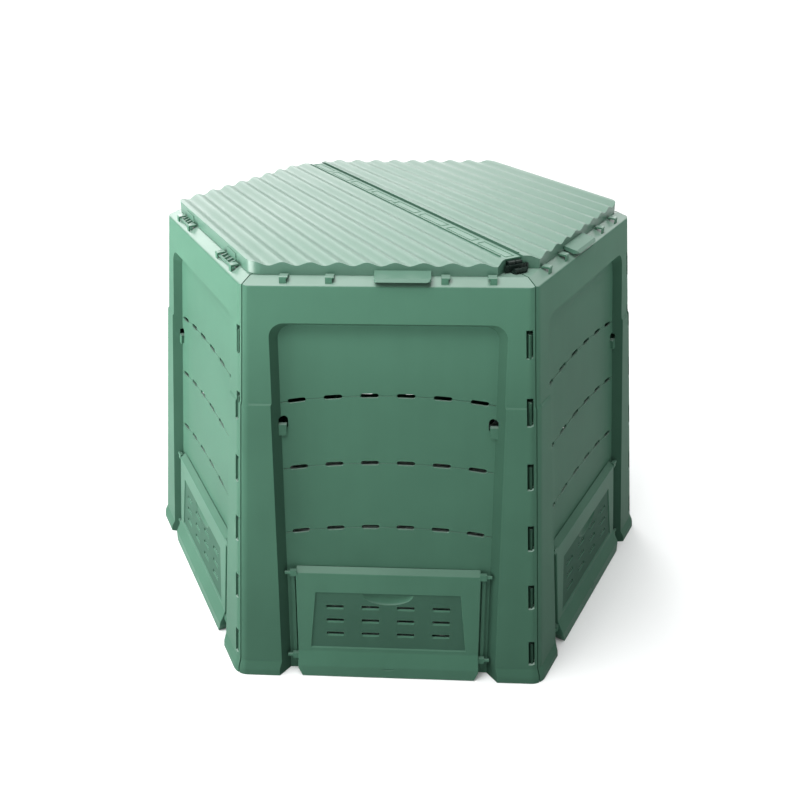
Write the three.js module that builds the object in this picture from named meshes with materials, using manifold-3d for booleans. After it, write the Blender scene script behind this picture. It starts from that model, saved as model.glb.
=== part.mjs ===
// Compost bin with lid: a six-sided garden bin of moulded plastic panels that hook together
// at the corners. Each panel has a recess with rows of air slots and a lift-up door over an
// emptying hatch. Two corrugated lid halves hinge on opposite rims and meet over a crossbar.
// Millimetres, +Z up, ground at z = 0, the bin's centre line on the z axis, front towards -Y.

import * as THREE from 'three';
import { mergeVertices } from 'three/addons/utils/BufferGeometryUtils.js';
import Module from 'manifold-3d';

const wasm = await Module();
wasm.setup();

// Driving dimensions.
const SIDES = 6;
const RIM_HEIGHT = 800;
const RIM_APOTHEM = 441;
const FOOT_APOTHEM = 514;
const LID_SETBACK = 24;
const WALL = 4;
const SEAT_GAP = 0.3;
const OVERRUN = 6;

// The panels lean inwards as they rise; each spans one sector of the plan.
const LEAN = (FOOT_APOTHEM - RIM_APOTHEM) / RIM_HEIGHT;
const LID_APOTHEM = RIM_APOTHEM - LID_SETBACK;
const HALF_SECTOR = Math.PI / SIDES;
const SECTOR = 2 * HALF_SECTOR;
const FOOT_HALF_WIDTH = FOOT_APOTHEM * Math.tan(HALF_SECTOR);

// Each panel by name, with the number of sectors it stands round from the front.
const STATIONS = {
  front: 0, front_right: 1, back_right: 2, back: 3, back_left: 4, front_left: 5,
};

const PLASTIC = {
  panel: { color: 0x5f9a80, roughness: 0.45, metalness: 0 },
  door: { color: 0x588f76, roughness: 0.45, metalness: 0 },
  lid: { color: 0x9cc9b4, roughness: 0.4, metalness: 0 },
  bar: { color: 0x5fa583, roughness: 0.45, metalness: 0 },
  clip: { color: 0x14281f, roughness: 0.5, metalness: 0 },
};

// A closed three.js geometry as a solid that can be joined and cut.
function solid(geometry) {
  geometry.deleteAttribute('normal');
  geometry.deleteAttribute('uv');
  const welded = mergeVertices(geometry);
  return new wasm.Manifold(new wasm.Mesh({
    numProp: 3,
    vertProperties: Float32Array.from(welded.attributes.position.array),
    triVerts: Uint32Array.from(welded.index.array),
  }));
}

function geometryOf(shape) {
  const mesh = shape.getMesh();
  const geometry = new THREE.BufferGeometry();
  geometry.setAttribute('position', new THREE.BufferAttribute(mesh.vertProperties, mesh.numProp));
  geometry.setIndex(new THREE.BufferAttribute(mesh.triVerts, 1));
  geometry.computeVertexNormals();
  return geometry;
}

function join(shapes) {
  return shapes.reduce((whole, shape) => whole.add(shape));
}

// Frames in which the pieces are drawn. FACE: x across the panel, y inwards from its outer face,
// z up, sheared to the panel's lean. RIM: the same from the rim's top outer edge, upright.
const FLAT = new THREE.Matrix4();
const FACE = new THREE.Matrix4().set(
  1, 0, 0, 0,
  0, 1, LEAN, -FOOT_APOTHEM,
  0, 0, 1, 0,
  0, 0, 0, 1,
);
const RIM = new THREE.Matrix4().makeTranslation(0, -RIM_APOTHEM, RIM_HEIGHT);

// The frame of a panel's corner line, on the right (side 1) or the left (side -1).
function cornerFrame(side) {
  const lean = side * LEAN * Math.tan(HALF_SECTOR);
  return new THREE.Matrix4().set(
    1, 0, -lean, side * FOOT_HALF_WIDTH,
    0, 1, LEAN, -FOOT_APOTHEM,
    0, 0, 1, 0,
    0, 0, 0, 1,
  );
}

const X_AXIS = new THREE.Vector3(1, 0, 0);
const Y_AXIS = new THREE.Vector3(0, 1, 0);
const Z_AXIS = new THREE.Vector3(0, 0, 1);
const UPRIGHT = new THREE.Matrix4();
const SIDEWAYS = new THREE.Matrix4().makeBasis(Y_AXIS, Z_AXIS, X_AXIS);
const INWARDS = new THREE.Matrix4().makeBasis(X_AXIS, Z_AXIS, Y_AXIS.clone().negate());

function extrusion(points, from, to, far) {
  const shape = new THREE.Shape(points.map(([a, b]) => new THREE.Vector2(a, b)));
  const depth = to - from;
  const geometry = new THREE.ExtrudeGeometry(shape, { depth, bevelEnabled: false });
  const place = geometry.attributes.position;
  for (let i = 0; i < place.count; i += 1) {
    const scale = place.getZ(i) > depth / 2 ? far : { a: 1, b: 1 };
    place.setXYZ(i, place.getX(i) * scale.a, place.getY(i) * scale.b, place.getZ(i) + from);
  }
  return geometry;
}

// A prism of an (x, y) outline, standing from one height to another.
function uprightPrism(points, from, to, frame = FLAT) {
  return solid(extrusion(points, from, to, { a: 1, b: 1 }).applyMatrix4(UPRIGHT).applyMatrix4(frame));
}

// A prism of a (y, z) outline, lying along x.
function sidewaysPrism(points, from, to, frame = FLAT) {
  return solid(extrusion(points, from, to, { a: 1, b: 1 }).applyMatrix4(SIDEWAYS).applyMatrix4(frame));
}

// A prism of an (x, z) outline given at its inner end, with its outer end scaled for draft.
function inwardPrism(points, from, to, frame = FLAT, outer = { a: 1, b: 1 }) {
  return solid(extrusion(points, -to, -from, outer).applyMatrix4(INWARDS).applyMatrix4(frame));
}

function box([x0, x1], [y0, y1], [z0, z1], frame = FLAT) {
  const geometry = new THREE.BoxGeometry(x1 - x0, y1 - y0, z1 - z0);
  geometry.translate((x0 + x1) / 2, (y0 + y1) / 2, (z0 + z1) / 2);
  return solid(geometry.applyMatrix4(frame));
}

// A range on the given side of the middle, its ends in rising order.
function mirrored(side, from, to) {
  return side > 0 ? [from, to] : [-to, -from];
}

// A round rod along x.
function rod(radius, [x0, x1], y, z, frame = FLAT, facets = 8) {
  const geometry = new THREE.CylinderGeometry(radius, radius, x1 - x0, facets);
  geometry.rotateZ(-Math.PI / 2).translate((x0 + x1) / 2, y, z);
  return solid(geometry.applyMatrix4(frame));
}

function arc(centre, radius, from, to, steps) {
  const points = [];
  for (let i = 0; i <= steps; i += 1) {
    const angle = from + ((to - from) * i) / steps;
    points.push([centre[0] + radius * Math.cos(angle), centre[1] + radius * Math.sin(angle)]);
  }
  return points;
}

// The sector of the plan between a panel's two mitre planes, set in from both.
function sector(inset, from, to) {
  const reach = 2 * FOOT_APOTHEM;
  const half = reach * Math.tan(HALF_SECTOR) - inset / Math.cos(HALF_SECTOR);
  const apex = [0, -inset / Math.sin(HALF_SECTOR)];
  return uprightPrism([apex, [-half, -reach], [half, -reach]], from, to);
}

// Panel: the outer skin, with a flared foot and a slight step at the knee. At the rim it slopes
// up and inwards to a level ledge on which the lid's skirt lies.
const CORNER_RADIUS = 28;
const PAST_SEAM = HALF_SECTOR / 10;
const SEAM_DEPTH = 32;
const FOOT_FLARE = 8;
const FOOT_BAND = 13;
const FOOT_SLOPE = 15;
const KNEE_STEP = 2.5;
const KNEE_DROP = 226;
const KNEE_SLOPE = 8;
const RIM_RADIUS = 4;
const RIM_SLOPE = 22;
const RIM_RISE = 11.7;
const RIM_WIDTH = 44;
const RIM_PITCH = Math.atan2(RIM_RISE, RIM_SLOPE);
const RIM_TURN = Math.PI / 2 - RIM_PITCH;
const FOOT_TOP = FOOT_BAND + FOOT_SLOPE;
const KNEE_HEIGHT = RIM_HEIGHT - KNEE_DROP;

function skinFront(inset) {
  return [
    [inset - FOOT_FLARE, FOOT_BAND],
    [inset - KNEE_STEP, FOOT_TOP],
    [inset - KNEE_STEP, KNEE_HEIGHT],
    [inset, KNEE_HEIGHT + KNEE_SLOPE],
  ];
}

// The ledge of the skin's outline, set in by inset, where the slope ends and where the skin does.
function skinLedge(inset) {
  const rise = RIM_RISE - inset;
  const start = RIM_SLOPE + inset * Math.tan(RIM_PITCH / 2) - LEAN * rise;
  return [[start, RIM_HEIGHT + rise], [SEAM_DEPTH + inset, RIM_HEIGHT + rise]];
}

function outerSkin() {
  const corner = [RIM_RADIUS, RIM_HEIGHT - RIM_RADIUS * Math.tan(RIM_TURN / 2)];
  const outline = [
    [-FOOT_FLARE, 0],
    ...skinFront(0),
    ...arc(corner, RIM_RADIUS, Math.PI, Math.PI - RIM_TURN, 2),
    ...skinLedge(0),
    [SEAM_DEPTH, 0],
  ];
  return sidewaysPrism(outline, -FOOT_APOTHEM, FOOT_APOTHEM, FACE);
}

function innerHollow() {
  const outline = [
    [WALL - FOOT_FLARE, -OVERRUN],
    ...skinFront(WALL),
    [WALL, RIM_HEIGHT - WALL * Math.tan(RIM_TURN / 2)],
    ...skinLedge(WALL),
    [SEAM_DEPTH + WALL, -OVERRUN],
  ];
  return sidewaysPrism(outline, -FOOT_APOTHEM, FOOT_APOTHEM, FACE);
}

// What lies outside a panel's rounded corner, in the plan, where the face stands out by proud
// and the surface is set in by inset.
function outsideCorner(side, proud, inset, from, to) {
  const centre = [-CORNER_RADIUS * Math.tan(HALF_SECTOR), CORNER_RADIUS];
  const radius = CORNER_RADIUS + proud - inset;
  const turn = HALF_SECTOR + PAST_SEAM - Math.PI / 2;
  const reach = radius / Math.cos(HALF_SECTOR) + 2 * OVERRUN;
  const tip = [centre[0] + reach * Math.cos(turn), centre[1] + reach * Math.sin(turn)];
  const outside = [centre[0], centre[1] - radius - OVERRUN];
  const outline = [...arc(centre, radius, -Math.PI / 2, turn, 3), tip, outside];
  return uprightPrism(outline.map(([x, y]) => [side * x, y]), from, to, cornerFrame(side));
}

// Each band runs on into the next, which cuts deeper, so that no sliver is left between them.
function outsideCorners(inset) {
  const bands = [
    [FOOT_FLARE, -OVERRUN, FOOT_TOP + OVERRUN],
    [KNEE_STEP, FOOT_TOP, KNEE_HEIGHT + KNEE_SLOPE + OVERRUN],
    [0, KNEE_HEIGHT + KNEE_SLOPE, RIM_HEIGHT + RIM_RISE + OVERRUN],
  ];
  return join([1, -1].flatMap((side) => bands.map(
    ([proud, from, to]) => outsideCorner(side, proud, inset, from, to),
  )));
}

// Recess: a shallow tray open at the ground, with drafted sides and rounded upper corners.
const RECESS_HALF_WIDTH = 209;
const RECESS_DROP = 67;
const RECESS_RADIUS = 26;
const RECESS_DEPTH = 18;
const RECESS_DRAFT = 14;
const RECESS_TOP = RIM_HEIGHT - RECESS_DROP;

function recess(grow) {
  const slope = RECESS_DRAFT / RECESS_DEPTH;
  const side = grow * Math.hypot(1, slope);
  const deep = RECESS_DEPTH + grow;
  const inner = { half: RECESS_HALF_WIDTH + side - slope * deep, top: RECESS_TOP + side - slope * deep };
  const flare = slope * (deep + OVERRUN + FOOT_FLARE);
  const radius = RECESS_RADIUS;
  const outline = [
    [-inner.half, -OVERRUN],
    [inner.half, -OVERRUN],
    ...arc([inner.half - radius, inner.top - radius], radius, 0, Math.PI / 2, 3),
    ...arc([radius - inner.half, inner.top - radius], radius, Math.PI / 2, Math.PI, 3),
  ];
  const outer = { a: (inner.half + flare) / inner.half, b: (inner.top + flare) / inner.top };
  return inwardPrism(outline, -OVERRUN - FOOT_FLARE, deep, FACE, outer);
}

// Door: how high it is, and how far its sides stay clear of the recess.
const DOOR_HEIGHT = 226;
const DOOR_SIDE_GAP = 31;
const DOOR_HALF_WIDTH = RECESS_HALF_WIDTH - DOOR_SIDE_GAP;
const LUG_REACH = 11;
const LUG_END = DOOR_HALF_WIDTH + LUG_REACH;

// Air slots: three rows of six through the recess wall, each row on a shallow arch. The top row
// keeps its distance from the rim and the low one its distance from the door.
const SLOT_MARGIN = 29;
const SLOT_LENGTH = 33;
const SLOT_HEIGHT = 7;
const SLOTS_IN_ROW = 6;
const TOP_ROW_DROP = 210;
const LOW_ROW_RISE = 96;
const ROW_ARCH_RADIUS = 1250;
const SLOT_PITCH = (2 * (RECESS_HALF_WIDTH - RECESS_DRAFT - SLOT_MARGIN)) / (SLOTS_IN_ROW - 1);
const TOP_ROW_HEIGHT = RIM_HEIGHT - TOP_ROW_DROP;
const LOW_ROW_HEIGHT = DOOR_HEIGHT + LOW_ROW_RISE;
const ROW_HEIGHTS = [TOP_ROW_HEIGHT, (TOP_ROW_HEIGHT + LOW_ROW_HEIGHT) / 2, LOW_ROW_HEIGHT];

function slotRow(height) {
  const slots = [];
  for (let i = 0; i < SLOTS_IN_ROW; i += 1) {
    const x = (i - (SLOTS_IN_ROW - 1) / 2) * SLOT_PITCH;
    const tilt = Math.asin(x / ROW_ARCH_RADIUS);
    const z = height + ROW_ARCH_RADIUS * (Math.cos(tilt) - 1);
    const slot = new THREE.BoxGeometry(SLOT_LENGTH, 2 * OVERRUN + WALL, SLOT_HEIGHT);
    slot.rotateY(tilt).translate(x, RECESS_DEPTH + WALL / 2, z);
    slots.push(solid(slot.applyMatrix4(FACE)));
  }
  return join(slots);
}

// Hatch: the opening behind the door, with a guide rail on each side of it, and a catch higher
// up on each side where the raised door's pins rest.
const HATCH_SIDE_LAP = 18;
const HATCH_SILL = 16;
const HATCH_HEAD_LAP = 12;
const RAIL_GAP = 3;
const RAIL_WIDTH = 7;
const RAIL_PROUD = 7;
const RAIL_DROP = 10;
const CATCH_LAP = 3;
const CATCH_PROUD = 6.5;
const CATCH_HEIGHT = 23;
const CATCH_DROP = 267;
const CATCH_HOLE_HEIGHT = 22;
const CATCH_TOP = RIM_HEIGHT - CATCH_DROP;
const CATCH_INNER = LUG_END - CATCH_LAP;
const HATCH_HALF_WIDTH = DOOR_HALF_WIDTH - HATCH_SIDE_LAP;
const HATCH_TOP = DOOR_HEIGHT - HATCH_HEAD_LAP;
const RAIL_INNER = DOOR_HALF_WIDTH + RAIL_GAP;
const RAIL_TOP = DOOR_HEIGHT - RAIL_DROP;

function hatch() {
  return box(
    [-HATCH_HALF_WIDTH, HATCH_HALF_WIDTH],
    [RECESS_DEPTH - OVERRUN, RECESS_DEPTH + WALL + OVERRUN],
    [HATCH_SILL, HATCH_TOP],
    FACE,
  );
}

function recessWallAt(depth) {
  return RECESS_HALF_WIDTH - (RECESS_DRAFT * depth) / RECESS_DEPTH;
}

function rail(side) {
  return box(
    mirrored(side, RAIL_INNER, RAIL_INNER + RAIL_WIDTH),
    [RECESS_DEPTH - RAIL_PROUD, RECESS_DEPTH + WALL / 2],
    [HATCH_SILL, RAIL_TOP],
    FACE,
  );
}

function catchLip(side) {
  const front = RECESS_DEPTH - CATCH_PROUD;
  return box(
    mirrored(side, CATCH_INNER, recessWallAt(front) + WALL / 2),
    [front, RECESS_DEPTH + WALL / 2],
    [CATCH_TOP - CATCH_HEIGHT, CATCH_TOP],
    FACE,
  );
}

function catchHole(side) {
  const front = RECESS_DEPTH - CATCH_PROUD;
  return box(
    mirrored(side, CATCH_INNER, recessWallAt(front) + 2 * WALL),
    [front, RECESS_DEPTH + WALL + OVERRUN],
    [CATCH_TOP, CATCH_TOP + CATCH_HOLE_HEIGHT],
    FACE,
  );
}

// Corner joint: six windows down a panel's right edge, each taking a hook from its neighbour.
const HOOK_COUNT = 6;
const TOP_HOOK_DROP = 102;
const LOW_HOOK_CENTRE = 65.5;
const WINDOW_HEIGHT = 53;
const WINDOW_WIDTH = 19;
const WINDOW_DEPTH = 15;
const STRIP_WIDTH = 7;
const STRIP_DEPTH = 6;
const HOOK_HEIGHT = 44;
const HOOK_THICKNESS = 3.5;
const HOOK_REACH = 11.5;
const HOOK_FINGER = 7;
const HOOK_SETBACK = 7;
const TOP_HOOK_CENTRE = RIM_HEIGHT - TOP_HOOK_DROP;
const HOOK_PITCH = (TOP_HOOK_CENTRE - LOW_HOOK_CENTRE) / (HOOK_COUNT - 1);

function hookHeights() {
  const heights = [];
  for (let i = 0; i < HOOK_COUNT; i += 1) {
    heights.push(TOP_HOOK_CENTRE - i * HOOK_PITCH - WINDOW_HEIGHT / 2);
  }
  return heights;
}

// A window opens through the face, and behind a strip left along the seam it opens sideways.
function window(bottom) {
  const outline = [
    [-WINDOW_WIDTH, -OVERRUN - FOOT_FLARE],
    [-STRIP_WIDTH, -OVERRUN - FOOT_FLARE],
    [-STRIP_WIDTH, STRIP_DEPTH],
    [OVERRUN, STRIP_DEPTH],
    [OVERRUN, WINDOW_DEPTH],
    [-WINDOW_WIDTH, WINDOW_DEPTH],
  ];
  return uprightPrism(outline, bottom, bottom + WINDOW_HEIGHT, cornerFrame(1));
}

// A hook, drawn at the right corner of the neighbour that it grips: a stem across the mitre
// plane and a finger that turns outwards. The plan is in distances along and off that plane.
function hook(bottom) {
  const at = (along, off) => [
    -along * Math.sin(HALF_SECTOR) - off * Math.cos(HALF_SECTOR),
    along * Math.cos(HALF_SECTOR) - off * Math.sin(HALF_SECTOR),
  ];
  const root = SEAT_GAP + WALL / 2;
  const base = HOOK_SETBACK + HOOK_FINGER;
  const outline = [
    at(base, -root),
    at(base, HOOK_REACH),
    at(HOOK_SETBACK, HOOK_REACH),
    at(HOOK_SETBACK, HOOK_REACH - HOOK_THICKNESS),
    at(base - HOOK_THICKNESS, HOOK_REACH - HOOK_THICKNESS),
    at(base - HOOK_THICKNESS, -root),
  ];
  const foot = bottom + SEAT_GAP;
  const neighbour = new THREE.Matrix4().makeRotationZ(-SECTOR).multiply(cornerFrame(1));
  return uprightPrism(outline, foot, foot + HOOK_HEIGHT, neighbour);
}

// Rim: the ledge is carried on inwards under the lid, and four hinge posts a side stand on the
// slope. Each post is a staple, open towards the lid, whose cap holds down the lid's hinge rod.
const POST_SETBACK = 74.6;
const HINGE_SPAN = 80;
const POST_WIDTH = 15;
const POST_INSET = 5.5;
const POST_DEPTH = 16.7;
const POST_CAP = 6.2;
const POST_CHAMFER = 1.5;
const HINGE_INSET = 10.5;
const HINGE_LIFT = 4.2;
const ROD_RADIUS = 2.6;
const HINGE_RISE = slopeHeight(HINGE_INSET) + HINGE_LIFT;
const OUTER_POST = RIM_APOTHEM * Math.tan(HALF_SECTOR) - POST_SETBACK;
const INNER_POST = OUTER_POST - HINGE_SPAN;
const POST_PLACES = [-OUTER_POST, -INNER_POST, INNER_POST, OUTER_POST];

// Lid: the height of its crests and troughs and of its skirt's lower edge, above the rim.
const LID_CREST = 35.5;
const WAVE_DEPTH = 6.5;
const LID_SHEET = 3;
const SKIRT_FOOT = RIM_RISE + SEAT_GAP;
const LID_TROUGH = LID_CREST - WAVE_DEPTH;

function slopeHeight(depth) {
  return (RIM_RISE * depth) / RIM_SLOPE;
}

function rimLedge() {
  const along = [-FOOT_APOTHEM, FOOT_APOTHEM];
  return box(along, [SEAM_DEPTH - WALL, RIM_WIDTH], [RIM_RISE - WALL, RIM_RISE], RIM)
    .intersect(sector(SEAT_GAP, 0, 2 * RIM_HEIGHT));
}

function hingePost(x) {
  const back = POST_INSET + POST_DEPTH;
  const top = HINGE_RISE + POST_CAP;
  const outline = [
    [POST_INSET, slopeHeight(POST_INSET) - WALL / 2],
    [back, slopeHeight(back) - WALL / 2],
    [back, top - POST_CHAMFER],
    [back - POST_CHAMFER, top],
    [POST_INSET, top],
  ];
  const ends = [x - POST_WIDTH / 2, x + POST_WIDTH / 2];
  const over = [ends[0] - OVERRUN, ends[1] + OVERRUN];
  const hole = ROD_RADIUS + SEAT_GAP;
  return sidewaysPrism(outline, ends[0], ends[1], RIM)
    .subtract(rod(hole, over, HINGE_INSET, HINGE_RISE, RIM, 10))
    .subtract(box(over, [HINGE_INSET, back + OVERRUN], [HINGE_RISE - hole, HINGE_RISE + hole], RIM));
}

function sidePanel() {
  const seam = sector(SEAT_GAP, -OVERRUN, 2 * RIM_HEIGHT);
  const hollow = innerHollow()
    .intersect(sector(SEAT_GAP + WALL, -OVERRUN, 2 * RIM_HEIGHT))
    .subtract(outsideCorners(WALL))
    .subtract(recess(WALL));
  let shape = outerSkin()
    .intersect(seam)
    .subtract(outsideCorners(0))
    .subtract(hollow)
    .subtract(recess(0));
  shape = shape.add(join([rimLedge(), ...POST_PLACES.map(hingePost)]));
  shape = shape.add(join([1, -1].flatMap((side) => [rail(side), catchLip(side)])));
  shape = shape.subtract(join([hatch(), catchHole(1), catchHole(-1), ...ROW_HEIGHTS.map(slotRow)]));
  shape = shape.subtract(join(hookHeights().map(window)));
  return shape.add(join(hookHeights().map(hook)));
}

// Door: a moulded shell that lifts in the recess, open at the back, with a flared lower edge, a
// sunken field of slots, a finger scoop and two guide pins on each side.
const DOOR_CHAMFER_WIDTH = 8;
const DOOR_CHAMFER_HEIGHT = 18;
const DOOR_FACE = 5;
const DOOR_BACK = 17;
const DOOR_LEDGE = 14;
const DOOR_FLARE = 11;
const DOOR_BAND = 24;
const DOOR_SLOPE = 26;
const FIELD_DROP = 42;
const FIELD_RISE = 8;
const FIELD_MARGIN = 26;
const FIELD_TAPER = 12;
const FIELD_DEPTH = 1.8;
const DOOR_SLOT_MARGIN = 36.5;
const DOOR_SLOT_LENGTH = 33;
const DOOR_SLOT_HEIGHT = 7;
const DOOR_SLOT_COLUMNS = 4;
const DOOR_SLOT_DROP = 75;
const DOOR_ROW_PITCH = 30.5;
const SCOOP_HALF_WIDTH = 49;
const SCOOP_HEIGHT = 23;
const SCOOP_DEPTH = 8;
const SCOOP_DROP = 45;
const LOW_LUG = 38;
const LUG_HEIGHT = 12;
const LUG_FRONT = 4;
const LUG_BACK = RECESS_DEPTH - RAIL_PROUD - SEAT_GAP;
const GUIDE_PIN_REACH = 10;
const GUIDE_PIN_RADIUS = 3.2;
const GUIDE_PIN_END = LUG_END + GUIDE_PIN_REACH;
const DOOR_FOOT_HALF_WIDTH = DOOR_HALF_WIDTH - DOOR_CHAMFER_WIDTH;
const FIELD_TOP = DOOR_HEIGHT - FIELD_DROP;
const FIELD_FOOT = DOOR_BAND + DOOR_SLOPE + FIELD_RISE;
const FIELD_FOOT_HALF_WIDTH = DOOR_HALF_WIDTH - FIELD_MARGIN;
const FIELD_TOP_HALF_WIDTH = FIELD_FOOT_HALF_WIDTH - FIELD_TAPER;
const SCOOP_TOP = DOOR_HEIGHT - SCOOP_DROP;
const DOOR_SLOT_PITCH = (2 * (FIELD_TOP_HALF_WIDTH - DOOR_SLOT_MARGIN)) / (DOOR_SLOT_COLUMNS - 1);
const DOOR_SLOT_TOP = DOOR_HEIGHT - DOOR_SLOT_DROP;
const DOOR_SLOT_ROWS = [DOOR_SLOT_TOP, DOOR_SLOT_TOP - DOOR_ROW_PITCH, DOOR_SLOT_TOP - 2 * DOOR_ROW_PITCH];
const LUG_PLACES = [LOW_LUG, DOOR_HEIGHT];

function doorOutline(inset, back, foot) {
  const low = DOOR_FACE - DOOR_FLARE;
  return [
    [low + inset, foot],
    [low + inset, DOOR_BAND],
    [DOOR_FACE + inset, DOOR_BAND + DOOR_SLOPE],
    [DOOR_FACE + inset, DOOR_HEIGHT - inset / 2],
    [back, DOOR_HEIGHT + (DOOR_LEDGE * (back - DOOR_FACE - inset)) / (DOOR_BACK - DOOR_FACE) - inset / 2],
    [back, foot],
  ];
}

function doorShell() {
  const inner = DOOR_HALF_WIDTH - WALL;
  const hollow = sidewaysPrism(doorOutline(WALL, DOOR_BACK + OVERRUN, -OVERRUN), -inner, inner, FACE);
  const cheek = (side) => inwardPrism([
    [side * DOOR_HALF_WIDTH, DOOR_CHAMFER_HEIGHT],
    [side * DOOR_FOOT_HALF_WIDTH, 0],
    [side * DOOR_FOOT_HALF_WIDTH, -OVERRUN],
    [side * (DOOR_HALF_WIDTH + OVERRUN), -OVERRUN],
    [side * (DOOR_HALF_WIDTH + OVERRUN), DOOR_CHAMFER_HEIGHT],
  ], -2 * DOOR_FLARE, DOOR_BACK + OVERRUN, FACE);
  const strut = (side) => inwardPrism([
    [side * (DOOR_HALF_WIDTH - WALL), DOOR_CHAMFER_HEIGHT],
    [side * (DOOR_FOOT_HALF_WIDTH - WALL), 0],
    [side * DOOR_FOOT_HALF_WIDTH, 0],
    [side * DOOR_HALF_WIDTH, DOOR_CHAMFER_HEIGHT],
  ], DOOR_FACE - DOOR_FLARE + WALL / 2, DOOR_BACK, FACE);
  return sidewaysPrism(doorOutline(0, DOOR_BACK, 0), -DOOR_HALF_WIDTH, DOOR_HALF_WIDTH, FACE)
    .subtract(hollow)
    .add(strut(1))
    .add(strut(-1))
    .subtract(cheek(1))
    .subtract(cheek(-1));
}

function doorField() {
  const outline = [
    [-FIELD_FOOT_HALF_WIDTH, FIELD_FOOT],
    [FIELD_FOOT_HALF_WIDTH, FIELD_FOOT],
    [FIELD_TOP_HALF_WIDTH, FIELD_TOP],
    [-FIELD_TOP_HALF_WIDTH, FIELD_TOP],
  ];
  return inwardPrism(outline, DOOR_FACE - OVERRUN, DOOR_FACE + FIELD_DEPTH, FACE);
}

function doorSlots() {
  const cuts = [];
  for (const z of DOOR_SLOT_ROWS) {
    for (let i = 0; i < DOOR_SLOT_COLUMNS; i += 1) {
      const x = (i - (DOOR_SLOT_COLUMNS - 1) / 2) * DOOR_SLOT_PITCH;
      cuts.push(box(
        [x - DOOR_SLOT_LENGTH / 2, x + DOOR_SLOT_LENGTH / 2],
        [DOOR_FACE - OVERRUN, DOOR_FACE + WALL + OVERRUN],
        [z - DOOR_SLOT_HEIGHT / 2, z + DOOR_SLOT_HEIGHT / 2],
        FACE,
      ));
    }
  }
  return join(cuts);
}

// The lower half of a flattened ball, hollowed into a thickened pad on the door's back.
function scoop() {
  const ball = new THREE.SphereGeometry(1, 14, 6).rotateX(Math.PI / 2);
  ball.scale(SCOOP_HALF_WIDTH, SCOOP_DEPTH, SCOOP_HEIGHT);
  ball.translate(0, DOOR_FACE + FIELD_DEPTH, SCOOP_TOP);
  const below = box(
    [-SCOOP_HALF_WIDTH, SCOOP_HALF_WIDTH],
    [DOOR_FACE - SCOOP_DEPTH, DOOR_FACE + 2 * SCOOP_DEPTH],
    [SCOOP_TOP - SCOOP_HEIGHT, SCOOP_TOP],
    FACE,
  );
  return solid(ball.applyMatrix4(FACE)).intersect(below);
}

function scoopPad() {
  const margin = WALL / 2;
  return box(
    [-SCOOP_HALF_WIDTH - margin, SCOOP_HALF_WIDTH + margin],
    [DOOR_FACE + WALL / 2, DOOR_FACE + FIELD_DEPTH + SCOOP_DEPTH + margin],
    [SCOOP_TOP - SCOOP_HEIGHT - margin, SCOOP_TOP + margin],
    FACE,
  );
}

function guidePin(side, z) {
  const lug = box(
    mirrored(side, DOOR_HALF_WIDTH - WALL / 2, LUG_END),
    [LUG_FRONT, LUG_BACK],
    [z - LUG_HEIGHT / 2, z + LUG_HEIGHT / 2],
    FACE,
  );
  const ends = mirrored(side, LUG_END - WALL / 2, GUIDE_PIN_END);
  return lug.add(rod(GUIDE_PIN_RADIUS, ends, (LUG_FRONT + LUG_BACK) / 2, z, FACE));
}

function slidingDoor() {
  const pins = [1, -1].flatMap((side) => LUG_PLACES.map((z) => guidePin(side, z)));
  return doorShell()
    .add(scoopPad())
    .subtract(doorField())
    .subtract(doorSlots())
    .subtract(scoop())
    .add(join(pins));
}

// Crossbar: a hat-shaped bar from corner to corner, whose side ledges carry the lid halves'
// free edges. Its ends sit on a clip at the rim.
const BAR_HALF_WIDTH = 17;
const BAR_TOP = 30;
const BAR_SETBACK = 73.22;
const BAR_WALL = 3;
const LEDGE_HALF_WIDTH = 30;
const BAR_PANEL_LENGTH = 92;
const BAR_PANEL_HALF_WIDTH = 9;
const BAR_PANEL_RAISE = 1;
const BAR_PANELS = 8;
const BAR_BOSS_RADIUS = 8;
const BAR_HALF_LENGTH = RIM_APOTHEM / Math.cos(HALF_SECTOR) - BAR_SETBACK;

function crossbar() {
  const ledge = SKIRT_FOOT - SEAT_GAP;
  const foot = ledge - BAR_WALL;
  const outline = [
    [-LEDGE_HALF_WIDTH, foot],
    [LEDGE_HALF_WIDTH, foot],
    [LEDGE_HALF_WIDTH, ledge],
    [BAR_HALF_WIDTH, ledge],
    [BAR_HALF_WIDTH, BAR_TOP],
    [-BAR_HALF_WIDTH, BAR_TOP],
    [-BAR_HALF_WIDTH, ledge],
    [-LEDGE_HALF_WIDTH, ledge],
  ];
  const top = new THREE.Matrix4().makeTranslation(0, 0, RIM_HEIGHT);
  const inner = BAR_HALF_WIDTH - BAR_WALL;
  const hollow = box(
    [-BAR_HALF_LENGTH - OVERRUN, BAR_HALF_LENGTH + OVERRUN],
    [-inner, inner],
    [foot - OVERRUN, BAR_TOP - BAR_WALL],
    top,
  );
  const panels = [];
  const pitch = (2 * BAR_HALF_LENGTH) / BAR_PANELS;
  for (let i = 0; i < BAR_PANELS; i += 1) {
    const x = (i - (BAR_PANELS - 1) / 2) * pitch;
    panels.push(box(
      [x - BAR_PANEL_LENGTH / 2, x + BAR_PANEL_LENGTH / 2],
      [-BAR_PANEL_HALF_WIDTH, BAR_PANEL_HALF_WIDTH],
      [BAR_TOP - BAR_PANEL_RAISE, BAR_TOP + BAR_PANEL_RAISE],
      top,
    ));
  }
  const boss = new THREE.CylinderGeometry(BAR_BOSS_RADIUS, BAR_BOSS_RADIUS, 2 * BAR_PANEL_RAISE, 16);
  boss.rotateX(Math.PI / 2).translate(0, 0, BAR_TOP);
  return sidewaysPrism(outline, -BAR_HALF_LENGTH, BAR_HALF_LENGTH, top)
    .subtract(hollow)
    .add(join(panels))
    .add(solid(boss.applyMatrix4(top)));
}

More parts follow.
